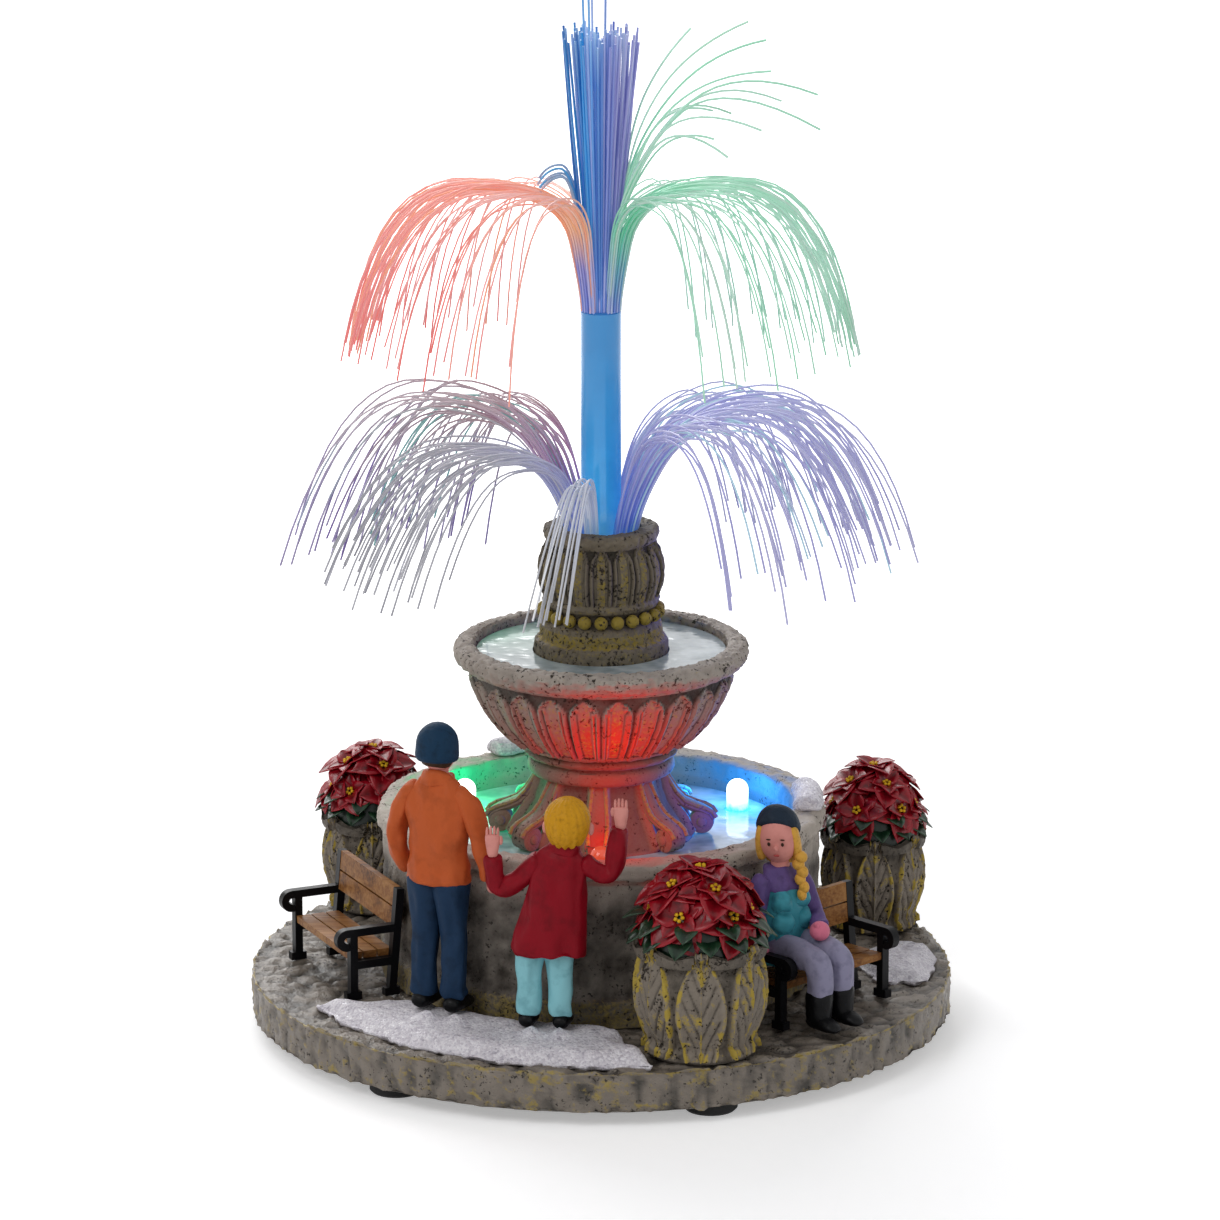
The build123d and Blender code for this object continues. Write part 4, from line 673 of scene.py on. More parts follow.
def tongue(shift, rise):
    """Carved tongue panel with a rounded top: its outer ridge, its thin inner line and its sunk middle,
    for a place across and up it."""
    half = 0.48 if rise < 0.74 else 0.48 * math.sqrt(max(0.0, 1 - ((rise - 0.74) / 0.26) ** 2))
    if half < 0.02 or not 0.0 <= rise <= 1.0:
        return 0.0, 0.0, 0.0
    share = abs(shift) / half
    ridge = smooth_step(share, 0.64, 0.74) * (1 - smooth_step(share, 0.88, 1.0))
    line = smooth_step(share, 0.46, 0.53) * (1 - smooth_step(share, 0.55, 0.63))
    middle = 1 - smooth_step(share, 0.36, 0.48)
    return ridge, line, middle


def build_bowl():
    """Bowl with a ring of tongue panels under a heavy rolled rim, and its shallow dish."""
    outline = [
        (CORE_RADIUS, PEDESTAL_TOP, "plain"), (17.2, PEDESTAL_TOP), (17.9, 64.9), (20.1, 66.1), (22.6, 68.4),
        (24.8, 71.0), (26.6, 73.6), (28.2, 76.6), (29.3, 79.4), (29.9, 82.4), (30.3, 83.2), (31.6, 83.5),
        (32.7, 84.3), (33.4, 85.6), (33.4, 86.9), (32.9, 87.9), (31.8, 88.6), (30.2, BOWL_TOP), (28.9, 88.7),
        (28.3, 88.1), (28.3, DISH_LEVEL, "plain"), (CORE_RADIUS, DISH_LEVEL, "plain"),
    ]
    shape = lathe(outline, 400, 0.6)
    panel_foot, panel_height = 66.0, 15.6
    rim_foot, rim_inside = 82.8, 28.0

    def relief(angle, radius, spot):
        wear = chips(spot, 1.8, 0.22, 3.0)
        if spot.z > rim_foot and radius > rim_inside:
            dent = chips(spot, 1.6, 0.55, 6.0)
            return dent, 0.9 + 0.9 * dent, 0.22
        if 65.8 < spot.z < 82.4 and radius > 19.0:
            rise = (spot.z - panel_foot) / panel_height
            ridge, line, middle = tongue(cell_shift(angle, BOWL_PANELS, 0.5), rise)
            move = 0.9 * ridge + 0.45 * line - 0.15 * middle - 0.35 + wear
            opened = 0.06 + 0.52 * ridge + 0.85 * line + 0.46 * middle
            return move, opened, 0.12 * ridge + 0.40 * line + 0.34 * middle
        return wear, 0.45, 0.2

    carve(shape, relief)
    stone = pick(
        "cast_resin_bowl_stone", cast_stone, "#26211B", "#968D84", "#B09A45",
        # The pool lamps' painted light, and a painted violet light on the right, where no lamp stands
        lights=pool_lights(red=7.0, blue=4.5, green=3.0) + [((36.0, -6.0, 64.0), 12.0, "#5A46D8", 2.0)],
    )
    make_piece(shape, "bowl_carving", [stone], ["bowl"])


def build_urn():
    """Urn with a stepped foot, a row of beads, upright lobes on its body and a thick lip."""
    hole_radius, socket_radius = 4.6, 8.6
    bead_ring, bead_radius, bead_rise = 13.0, 1.55, 0.375
    lobe_foot, lobe_height, lip_foot = 0.49, 0.40, 0.89

    def level_at(rise):
        return DISH_LEVEL + rise * URN_HEIGHT

    # Shares of the urn's radius and height
    steps = [
        (1.00, 0.00), (1.00, 0.15), (0.985, 0.175), (0.92, 0.20), (0.91, 0.27), (0.88, 0.31), (0.80, 0.345),
        (0.80, 0.405), (0.86, 0.435), (0.885, 0.46), (0.87, 0.48), (0.86, 0.50), (0.91, 0.57), (0.94, 0.66),
        (0.93, 0.74), (0.87, 0.82), (0.81, 0.87), (0.82, 0.895), (0.86, 0.92), (0.875, 0.95), (0.86, 0.98),
        (0.81, 1.00),
    ]
    outline = [(hole_radius, DISH_LEVEL, "plain")]
    outline += [(share * URN_RADIUS, level_at(rise)) for share, rise in steps]
    outline += [
        (8.9, level_at(0.995)), (socket_radius, level_at(0.97)), (socket_radius, SOCKET_LEVEL, "plain"),
        (hole_radius, SOCKET_LEVEL, "plain"),
    ]
    shape = lathe(outline, 320, 0.6)

    def relief(angle, radius, spot):
        wear = chips(spot, 1.8, 0.25, 7.0)
        rise = (spot.z - DISH_LEVEL) / URN_HEIGHT
        if lobe_foot < rise < 0.885 and radius > 11.0:
            ridge, line, middle = tongue(cell_shift(angle, URN_LOBES), (rise - lobe_foot) / lobe_height)
            move = 0.75 * ridge + 0.1 * middle - 0.45 + wear
            opened = 0.08 + 0.50 * ridge + 0.40 * (line + middle)
            return move, opened, 0.08 * ridge + 0.28 * line + 0.44 * middle
        if rise > lip_foot and radius > 10.5:
            dent = chips(spot, 1.5, 0.5, 9.0)
            return dent, 0.85 + 0.9 * dent, 0.25
        if 0.325 < rise < 0.43:
            return wear, 0.18, 0.1
        return wear * 1.6, 0.60 + wear, 0.50 if 0.19 < rise < 0.28 else 0.32

    carve(shape, relief)
    layer, gilt = relief_layers(shape)
    for index in range(URN_BEADS):
        turn = 2 * math.pi * (index + 0.5) / URN_BEADS
        place = Vector((bead_ring * math.cos(turn), bead_ring * math.sin(turn), level_at(bead_rise)))
        bead = bmesh.ops.create_icosphere(
            shape, subdivisions=2, radius=bead_radius * MM, matrix=Matrix.Translation(place * MM)
        )["verts"]
        for vert in bead:
            vert[layer], vert[gilt] = 0.8, 0.66
            smooth_faces(vert.link_faces)
    stone = pick(
        "cast_resin_urn_stone", cast_stone, "#1F1C17", "#6E6556", "#94802E", pitted=0.6,
        # A painted blue light on the urn's right side, where no lamp stands
        lights=[((26.0, 6.0, 104.0), 18.0, "#3A3BD0", 1.2)],
    )
    make_piece(shape, "urn_carving", [stone], ["urn"])


def build_pot(side):
    """Barrel pot cast with a ring of broad upright leaves, their tips making its wavy rim."""
    place_x, place_y, radius, height = POTS[side]
    rim_foot, rim_inside, rim_wave = 0.80 * height, 0.85 * radius, 1.1
    # Shares of the pot's radius and height
    shares = [
        (0.10, 0.0), (0.80, 0.0), (0.83, 0.03), (0.82, 0.08), (0.78, 0.12), (0.86, 0.24), (0.94, 0.38),
        (0.965, 0.52), (0.95, 0.66), (0.90, 0.78), (0.885, 0.85), (0.93, 0.91), (0.985, 0.96), (0.955, 1.0),
        (0.90, 1.0), (0.875, 0.975), (0.87, 0.885), (0.10, 0.885),
    ]
    shape = lathe([(share * radius, rise * height) for share, rise in shares], 280, 0.6)

    def relief(angle, reach, spot):
        rise = spot.z / height
        if reach < 0.70 * radius or rise < 0.02:
            return 0.0, 0.1, 0.0
        wear = chips(spot, 1.5, 0.3, 11.0)
        shift = cell_shift(angle, POT_LEAVES, POT_LEAF_PHASE)
        half = 0.47 * max(0.05, math.sin(math.pi * min(1.0, max(0.0, 0.12 + 0.96 * rise)))) ** 0.45
        share = abs(shift) / half
        body = 1 - smooth_step(share, 0.88, 1.04)
        edge = smooth_step(share, 0.70, 0.82) * (1 - smooth_step(share, 0.95, 1.05))
        rib = math.exp(-(shift / 0.022) ** 2) * body
        vein = smooth_step(math.cos(30.0 * (rise - abs(shift) * 1.1)), 0.45, 1.0) * body * (1 - edge)
        curl = smooth_step(0.13 - rise, 0.0, 0.05) * (0.5 + 0.5 * math.cos(angle * 3 * POT_LEAVES))
        patch = smooth_step(noise.noise(spot / 3.0), -0.1, 0.4)
        move = 0.95 * body + 0.55 * edge + 0.5 * rib - 0.3 * vein + 0.6 * curl - 1.2 + 0.7 * wear
        opened = 0.30 + 0.30 * body + 0.25 * edge + 0.20 * rib - 0.30 * vein + 0.2 * curl + 0.5 * wear
        gold = (0.42 + 0.20 * patch) * max(edge, rib) + 0.46 * body * patch * (1 - 0.8 * vein) + 0.4 * curl
        return move, opened, gold

    carve(shape, relief)
    for vert in shape.verts:
        x, y, level = vert.co / MM
        if level > rim_foot and math.hypot(x, y) > rim_inside:
            shift = abs(cell_shift(math.atan2(y, x), POT_LEAVES, POT_LEAF_PHASE))
            wave = smooth_step(shift, 0.15, 0.5) * smooth_step(level / height, 0.80, 1.0)
            vert.co.z -= rim_wave * MM * wave
    bmesh.ops.translate(shape, verts=shape.verts, vec=Vector((place_x, place_y, PLINTH_TOP)) * MM)
    stone = pick("cast_resin_leaf_pot", cast_stone, "#24211D", "#7E756A", "#B39A3C", pitted=0.45)
    make_piece(shape, f"pot_carving_{side}", [stone], [f"pot_{side}"])


def paint(verts, index):
    """Gives the faces round these points the paint of that number."""
    for face in {face for vert in verts for face in vert.link_faces}:
        face.material_index = index
        face.smooth = True


def leaf(shape, place, length, width, fold, droop, paint_index, layer):
    """Adds one leaf at a place: a small grid drawn to a point at both ends, folded along its middle."""
    verts = bmesh.ops.create_grid(shape, x_segments=5, y_segments=4, size=0.5)["verts"]
    for vert in verts:
        along, across = vert.co.x + 0.5, 2 * vert.co.y
        half = 0.5 * width * math.sin(math.pi * min(1.0, 0.06 + 0.94 * along) ** 0.85) ** 0.75
        vert.co = Vector((
            length * along, half * across, fold * half * abs(across) - droop * length * along * along,
        ))
        vert[layer] = 0.25 + 0.55 * abs(across)
    bmesh.ops.transform(shape, matrix=place, verts=verts)
    paint(verts, paint_index)


def bloom(shape, place, reach, layer, chance):
    """Adds one flower: two whorls of red bracts round a knot of yellow buds."""
    for count, share, lift, phase in ((6, 1.0, 8.0, 0.0), (5, 0.66, 30.0, 0.5)):
        for index in range(count):
            turn = 2 * math.pi * (index + phase) / count + chance.uniform(-0.12, 0.12)
            tilt = math.radians(-lift + chance.uniform(-9, 9))
            length = reach * share * chance.uniform(0.88, 1.08)
            aim = Matrix.Rotation(turn, 4, "Z") @ Matrix.Rotation(tilt, 4, "Y")
            start = Matrix.Translation((0.06 * reach, 0, 0))
            leaf(shape, place @ aim @ start, length, 0.86 * length, 0.30, 0.24, 0, layer)
    bud_count, bud_step, bud_ring = 5, 1.26, 0.10 * reach
    for index in range(bud_count):
        turn = index * bud_step
        spot = Vector((bud_ring * math.cos(turn), bud_ring * math.sin(turn), 0.16 * reach))
        bud = bmesh.ops.create_icosphere(
            shape, subdivisions=1, radius=0.048 * reach, matrix=place @ Matrix.Translation(spot)
        )["verts"]
        paint(bud, 2)


def build_poinsettia(side, colour):
    """Poinsettia: a mound of dark leaves with flowers turned outwards, in the soil of its pot."""
    place_x, place_y, radius, height = POTS[side]
    chance = random.Random(len(side) * 7)
    soil = PLINTH_TOP + height - 3.0
    mound = [
        (0.0, 0.4), (0.84 * radius, 0.4), (0.84 * radius, 3.2), (0.74 * radius, 8.0), (0.5 * radius, 12.4),
        (0.0, 13.6),
    ]
    shape = lathe(mound, 28, 40.0, closed=False)
    layer = shape.verts.layers.float.new("across")
    for face in shape.faces:
        face.material_index = 1
    for vert in shape.verts:
        vert[layer] = 0.15
    spread = (0.66 if side == "front" else 0.72) * radius
    reach = 0.57 * radius * MM
    leaf_length, leaf_width = 0.38 * radius * MM, 0.36 * radius * MM
    for climb, count, phase in ((8.0, 13, 0.0), (30.0, 9, 0.4)):
        for index in range(count):
            turn = 2 * math.pi * (index + phase) / count
            out = Vector((math.cos(turn), math.sin(turn), 0.0))
            spot = out * (0.70 * radius) + Vector((0, 0, 3.6 + climb * 0.13))
            tilt = math.radians(-6 + chance.uniform(-10, 8))
            aim = Matrix.Rotation(turn, 4, "Z") @ Matrix.Rotation(tilt, 4, "Y")
            leaf(shape, Matrix.Translation(spot * MM) @ aim, leaf_length, leaf_width, 0.2, 0.5, 1, layer)
    for climb, count, phase in ((90.0, 1, 0.0), (50.0, 4, 0.3), (18.0, 6, 0.05)):
        for index in range(count):
            turn = 2 * math.pi * (index + phase) / count + chance.uniform(-0.15, 0.15)
            level, out = math.sin(math.radians(climb)), math.cos(math.radians(climb))
            spot = Vector((
                spread * out * math.cos(turn), spread * out * math.sin(turn), 5.2 + 12.0 * level,
            ))
            facing = Vector((out * math.cos(turn), out * math.sin(turn), level + 0.35))
            aim = facing.to_track_quat("Z", "Y").to_matrix().to_4x4()
            size = reach * chance.uniform(0.92, 1.06)
            bloom(shape, Matrix.Translation(spot * MM) @ aim, size, layer, chance)
    bmesh.ops.translate(shape, verts=shape.verts, vec=Vector((place_x, place_y, soil)) * MM)
    paints = [
        pick("painted_resin_crimson_bract", plant_paint, colour, toned(colour, 0.2), toned(colour, 1.6)),
        pick("painted_resin_dark_leaf", plant_paint, "#17301F", "#08140C", "#2B4A33"),
        *table_paints("yellow_bud"),
    ]
    plant = make_piece(
        shape, f"poinsettia_plant_{side}", paints, [f"poinsettia_{side}"], 70.0)
    sheet = plant.modifiers.new("leaf thickness", "SOLIDIFY")
    sheet.thickness = 0.22 * MM
    sheet.offset = 0.0


# Paints of the figures and buds: colour, shade in the folds, roughness and width of the folds in millimetres
PAINTS = {
    "yellow_bud": ("#E3B52A", "#8A6A12", 0.45, 1.0),
    "skin": ("#DB938A", "#B56A62", 0.5, 4.0),
    "rose": ("#B5524E", "#7E2F2C", 0.5, 1.5),
    "black_shoe": ("#0B0B0D", "#040405", 0.35, 2.0),
    "brown_hair": ("#3A2A1E", "#15100B", 0.5, 0.9),
    "yellow_hair": ("#CC931E", "#8A5E0E", 0.45, 0.9),
    "fair_hair": ("#D9A548", "#8F6420", 0.45, 0.9),
    "navy_cap": ("#16334C", "#091724", 0.6, 1.6),
    "dark_teal_knit": ("#1E2A38", "#0A1018", 0.55, 1.2),
    "pale_blue_trousers": ("#8ECBD4", "#4E8A96", 0.5, 3.5),
    "lilac_trousers": ("#918EA8", "#57546C", 0.5, 2.4),
    "pink_glove": ("#D9768F", "#9A4258", 0.5, 2.0),
}


def table_paints(*names):
    """Resin paints from the table, in the order of their names."""
    return [pick(f"painted_resin_{name}", painted_resin, *PAINTS[name]) for name in names]


def cloth_paint(name, colour, share, roughness, fold):
    """Resin paint in a colour that a user may change, with that share of it as painted shade in the folds."""
    return pick(f"painted_resin_{name}", painted_resin, colour, toned(colour, share), roughness, fold)


def limb(shape, index, *stations, segments=14):
    """Adds a rounded limb or garment over stations of x, y, z, half depth and half width, in one paint."""
    verts = skin(shape, [(Vector(station[:3]), station[3], station[4]) for station in stations], segments)
    paint(verts, index)
    return verts


def ball(shape, index, middle, radii, segments=16):
    """Adds a rounded form with three half sizes, in one paint."""
    size = Matrix.Diagonal((radii[0] * MM, radii[1] * MM, radii[2] * MM, 1.0))
    verts = bmesh.ops.create_uvsphere(
        shape, u_segments=segments, v_segments=segments - 4, radius=1.0,
        matrix=Matrix.Translation(Vector(middle) * MM) @ size,
    )["verts"]
    paint(verts, index)


def doll_face(shape, x, level, size, skin_index, dark_index, lip_index):
    """Adds a plain doll's face: a round nose, two dot eyes with brows and a small calm mouth."""

    def feature(index, place, radii, segments):
        back, across, up = (size * share for share in place)
        ball(shape, index, (x - back, across, level + up), [share * size for share in radii], segments)

    feature(skin_index, (0, 0, 0), (0.16, 0.13, 0.16), 10)
    for side in (-1, 1):
        feature(dark_index, (0.10, side * 0.36, 0.20), (0.07, 0.10, 0.11), 8)
        feature(dark_index, (0.10, side * 0.37, 0.44), (0.05, 0.16, 0.04), 8)
    feature(lip_index, (0.16, 0, -0.40), (0.06, 0.20, 0.06), 8)


def shoe(shape, index, x, y, level, size):
    """Adds one shoe from heel to toe."""
    stations = (
        (-2.9, 1.5, 0.7, 0.9), (-2.3, 1.6, 1.5, 1.7), (-0.3, 1.8, 1.8, 2.0), (2.2, 1.5, 1.5, 2.2),
        (4.2, 1.1, 1.0, 1.7), (5.0, 0.9, 0.4, 0.8),
    )
    limb(shape, index, *[
        (x + ahead * size, y, level + up * size, depth * size, width * size)
        for ahead, up, depth, width in stations
    ], segments=12)


def pair_of(build):
    """Calls a maker for the left side, 1, and the right side, -1."""
    for side in (1, -1):
        build(side)


def place_figure(shape, name, node, paints, place, facing, cloth):
    """Sets a figure on its spot, facing an angle, with creases in the paints that are cloth, as one piece."""

    def is_cloth(vert):
        return all(face.material_index in cloth for face in vert.link_faces)

    bmesh.ops.recalc_face_normals(shape, faces=shape.faces)
    edges = {edge for vert in shape.verts if is_cloth(vert) for edge in vert.link_edges}
    bmesh.ops.subdivide_edges(shape, edges=list(edges), cuts=1, smooth=0.6, use_grid_fill=True)
    shape.normal_update()
    crease_depth = 0.95
    for vert in filter(is_cloth, shape.verts):
        x, y, z = vert.co / MM
        fold = 0.30 - 1.5 * abs(noise.noise(Vector((x / 3.4, y / 3.4, z / 7.5))))
        crease = fold + 0.4 * noise.noise(Vector((x, y, z)) / 2.0)
        vert.co += vert.normal * (crease_depth * crease * MM)
    turn = Matrix.Translation(Vector(place) * MM) @ Matrix.Rotation(math.radians(facing), 4, "Z")
    bmesh.ops.transform(shape, matrix=turn, verts=shape.verts)
    bmesh.ops.recalc_face_normals(shape, faces=shape.faces)
    figure = make_piece(shape, name, paints, [node], 80.0)
    rounding = figure.modifiers.new("rounding", "SUBSURF")
    rounding.levels = 1
    rounding.render_levels = 1


def build_man(jacket, jeans):
    """Man who looks at the fountain: knit cap, short jacket, jeans and black shoes."""
    shape = bmesh.new()
    pair_of(lambda side: limb(
        shape, 1,
        (0, side * 3.1, 33.5, 3.8, 3.5), (0.2, side * 3.3, 26, 3.9, 3.7), (0.5, side * 3.5, 18.5, 3.2, 3.2),
        (0.2, side * 3.6, 13.5, 3.0, 3.0), (-0.2, side * 3.7, 9.0, 2.7, 2.8),
        (-0.1, side * 3.7, 5.2, 2.9, 2.9),
        (0.2, side * 3.8, 4.2, 3.1, 3.0), (0.3, side * 3.8, 3.3, 2.8, 2.7)))
    pair_of(lambda side: shoe(shape, 2, 0.4, side * 4.0, 0.0, 1.25))
    # Jacket with its hem, collar and two sleeves
    limb(
        shape, 0,
        (0, 0, 30.4, 4.2, 6.6), (0, 0, 29.8, 4.9, 7.4), (0, 0, 30.8, 5.1, 7.6), (0, 0, 32.0, 4.9, 7.4),
        (0, 0, 33.4, 4.9, 7.4), (-0.2, 0, 36, 4.5, 6.9), (-0.2, 0, 39.5, 4.5, 7.1), (-0.2, 0, 44, 4.5, 7.9),
        (-0.1, 0, 47.8, 4.1, 8.3), (0, 0, 50.4, 3.6, 7.3), (0.1, 0, 52.4, 3.0, 5.0), (0.2, 0, 54.0, 2.6, 3.2),
        segments=20)
    limb(
        shape, 0,
        (0.1, 0, 51.6, 3.3, 4.3), (0.1, 0, 52.8, 3.5, 4.0), (0.2, 0, 54.3, 3.2, 3.5),
        (0.3, 0, 54.5, 2.4, 2.6))
    limb(
        shape, 0,
        (0, 4.2, 50.9, 1.9, 1.7), (0, 6.6, 49.4, 2.6, 2.2), (-0.4, 8.3, 46.8, 2.8, 2.4),
        (-0.9, 9.2, 43.6, 2.7, 2.3), (-1.2, 9.9, 40.2, 2.5, 2.2), (-0.7, 10.0, 37.0, 2.5, 2.2),
        (0.9, 9.4, 33.8, 2.3, 2.1), (2.8, 8.2, 31.0, 2.1, 1.9))
    limb(
        shape, 0,
        (0, -4.2, 50.9, 1.9, 1.7), (0, -6.6, 49.4, 2.6, 2.2), (0.2, -8.4, 46.8, 2.8, 2.4),
        (0.4, -9.4, 43.6, 2.7, 2.3), (0.7, -10.4, 40.0, 2.5, 2.2), (1.0, -11.2, 36.0, 2.5, 2.3),
        (1.7, -11.8, 32.4, 2.3, 2.1), (1.9, -12.0, 31.2, 1.8, 1.7))
    # Right hand, neck, head, ears and face
    ball(shape, 3, (2.1, -12.3, 29.8), (1.7, 1.2, 1.9), 12)
    ball(shape, 3, (3.3, -11.6, 29.8), (0.8, 0.6, 1.2), 8)
    limb(shape, 3, (0.2, 0, 52.6, 2.4, 2.4), (0.3, 0, 55.0, 2.3, 2.3), (0.5, 0, 57.0, 2.3, 2.3), segments=12)
    ball(shape, 3, (0.7, 0, 58.8), (4.1, 3.7, 4.5))
    pair_of(lambda side: ball(shape, 3, (0.3, side * 3.75, 58.3), (0.9, 0.55, 1.2), 10))
    doll_face(shape, 4.8, 58.0, 3.8, 3, 4, 6)
    # Hair and cap
    limb(
        shape, 4,
        (-0.9, 0, 55.6, 2.2, 2.7), (-0.6, 0, 56.6, 3.5, 3.7), (-0.4, 0, 58.6, 4.0, 3.9),
        (-0.3, 0, 60.6, 4.1, 3.9))
    limb(
        shape, 5,
        (-0.5, 0, 57.2, 4.0, 4.0), (-0.5, 0, 57.4, 4.7, 4.7), (-0.3, 0, 58.6, 5.0, 5.0),
        (-0.2, 0, 59.6, 4.8, 4.8),
        (-0.1, 0, 61.6, 4.9, 4.8), (-0.1, 0, 63.6, 4.3, 4.2), (-0.1, 0, 65.2, 2.6, 2.5),
        (-0.1, 0, 65.8, 0.9, 0.9),
        segments=24)
    paints = [
        cloth_paint("orange_jacket", jacket, 0.5, 0.5, 4.0), cloth_paint("navy_jeans", jeans, 0.35, 0.6, 3.5),
        *table_paints("black_shoe", "skin", "brown_hair", "navy_cap", "rose"),
    ]
    place_figure(
        shape, "man_painted", "man_figure", paints,
        place=(-35.7, -45.0, SNOW_TOP), facing=62.0, cloth={0, 1})


def build_boy(coat):
    """Boy with raised hands: fair hair, crimson coat, light trousers."""
    shape = bmesh.new()
    pair_of(lambda side: limb(
        shape, 1,
        (0, side * 3.0, 20.0, 3.4, 3.2), (0.2, side * 3.3, 15.0, 3.1, 3.0), (0.3, side * 3.5, 10.5, 2.8, 2.7),
        (0.0, side * 3.5, 6.5, 2.6, 2.6), (0.1, side * 3.6, 3.9, 2.8, 2.7), (0.2, side * 3.6, 3.0, 2.6, 2.5)))
    pair_of(lambda side: shoe(shape, 2, 0.3, side * 3.8, 0.0, 1.1))
    # Coat with its hem, collar and two bent sleeves
    limb(
        shape, 0,
        (0, -0.9, 17.6, 4.2, 7.2), (0, -0.9, 16.9, 4.9, 8.2), (0, -0.9, 18.2, 5.1, 8.4),
        (0, -1.6, 22.5, 4.6, 7.6),
        (-0.1, -2.3, 27.0, 4.2, 7.0), (-0.1, -3.0, 31.5, 3.9, 6.5), (0, -3.4, 35.5, 3.8, 6.3),
        (0, -4.0, 38.4, 3.4, 5.9), (0.1, -4.4, 40.4, 2.9, 4.3), (0.1, -4.6, 41.6, 2.4, 3.0), segments=20)
    limb(
        shape, 0,
        (0.1, -4.3, 39.8, 3.0, 3.9), (0.1, -4.5, 41.0, 3.2, 3.6), (0.2, -4.7, 42.2, 3.0, 3.3),
        (0.3, -4.7, 42.4, 2.3, 2.5))
    limb(
        shape, 0,
        (0, 0.4, 38.6, 1.9, 1.8), (0.2, 2.2, 37.0, 2.6, 2.4), (0.7, 5.8, 33.4, 2.5, 2.3),
        (1.1, 9.4, 30.8, 2.3, 2.2), (1.1, 10.8, 31.6, 2.3, 2.2), (0.7, 11.2, 34.4, 2.2, 2.1),
        (0.1, 11.3, 37.6, 2.2, 2.1), (-0.2, 11.3, 38.8, 1.7, 1.6))
    limb(
        shape, 0,
        (0, -8.0, 38.6, 1.9, 1.8), (0.2, -9.6, 37.6, 2.6, 2.4), (0.6, -12.0, 36.0, 2.5, 2.3),
        (1.0, -14.2, 35.6, 2.4, 2.2), (1.3, -15.2, 37.4, 2.3, 2.2), (1.7, -15.7, 41.4, 2.2, 2.1),
        (2.1, -16.1, 44.8, 2.2, 2.1), (2.2, -16.3, 45.9, 1.6, 1.6))
    # Open hands: a palm, four fingers and a thumb on the inner side
    for x, y, level in ((-0.4, 11.4, 40.2), (2.2, -16.5, 47.1)):
        limb(
            shape, 3,
            (x, y, level - 2.0, 1.2, 1.2), (x, y, level - 0.4, 1.2, 1.3), (x, y, level + 1.2, 1.1, 1.7),
            (x, y, level + 2.8, 0.9, 1.8), (x, y, level + 3.4, 0.7, 1.6), segments=12)
        for finger in range(4):
            reach = level + 4.1 - 0.3 * abs(finger - 1.5)
            ball(shape, 3, (x, y - 1.2 + 0.8 * finger, reach), (0.5, 0.42, 1.5), 8)
        ball(shape, 3, (x + 0.2, y - 1.8 * (1 if y > 0 else -1), level + 2.0), (0.5, 0.6, 1.2), 8)
    # Neck, head, ears, face and hair, made over the middle and then set over the collar
    before = set(shape.verts)
    limb(shape, 3, (0.1, 0, 40.6, 2.4, 2.4), (0.3, 0, 42.6, 2.3, 2.3), (0.5, 0, 44.4, 2.3, 2.3), segments=12)
    ball(shape, 3, (0.6, 0, 46.6), (4.6, 4.3, 4.7))
    pair_of(lambda side: ball(shape, 3, (0.4, side * 5.0, 45.6), (1.0, 0.8, 1.5), 10))
    doll_face(shape, 5.2, 45.6, 4.2, 3, 6, 5)
    hair = limb(
        shape, 4,
        (-1.4, 0, 42.7, 2.4, 2.6), (-1.3, 0, 42.6, 3.3, 3.4), (-1.1, 0, 43.8, 4.1, 4.2),
        (-0.8, 0, 45.4, 4.7, 4.8),
        (-0.4, 0, 47.6, 5.0, 5.2), (-0.2, 0, 49.8, 4.7, 4.8), (-0.2, 0, 51.6, 3.4, 3.4),
        (-0.2, 0, 52.6, 1.7, 1.7),
        (-0.2, 0, 52.8, 0.7, 0.7), segments=72)
    for vert in hair:
        x, y, level = vert.co / MM
        turn = math.atan2(y, x + 0.4)
        lock = math.cos(18 * turn + 1.5 * math.sin(3 * turn) + 0.35 * level)
        vert.co += Vector((math.cos(turn), math.sin(turn), 0.0)) * (0.17 * lock * MM)
        vert.co.z += 0.5 * MM * math.cos(11 * turn) * smooth_step(44.0 - level, 0.0, 1.5)
    head = [vert for vert in shape.verts if vert not in before]
    bmesh.ops.translate(shape, verts=head, vec=Vector((0.0, -5.2 * MM, 0.0)))
    paints = [
        cloth_paint("crimson_coat", coat, 0.35, 0.45, 4.0),
        *table_paints("pale_blue_trousers", "black_shoe", "skin", "yellow_hair", "rose", "brown_hair"),
    ]
    place_figure(
        shape, "boy_painted", "boy_figure", paints,
        place=(-12.3, -57.7, SNOW_TOP), facing=80.0, cloth={0, 1})


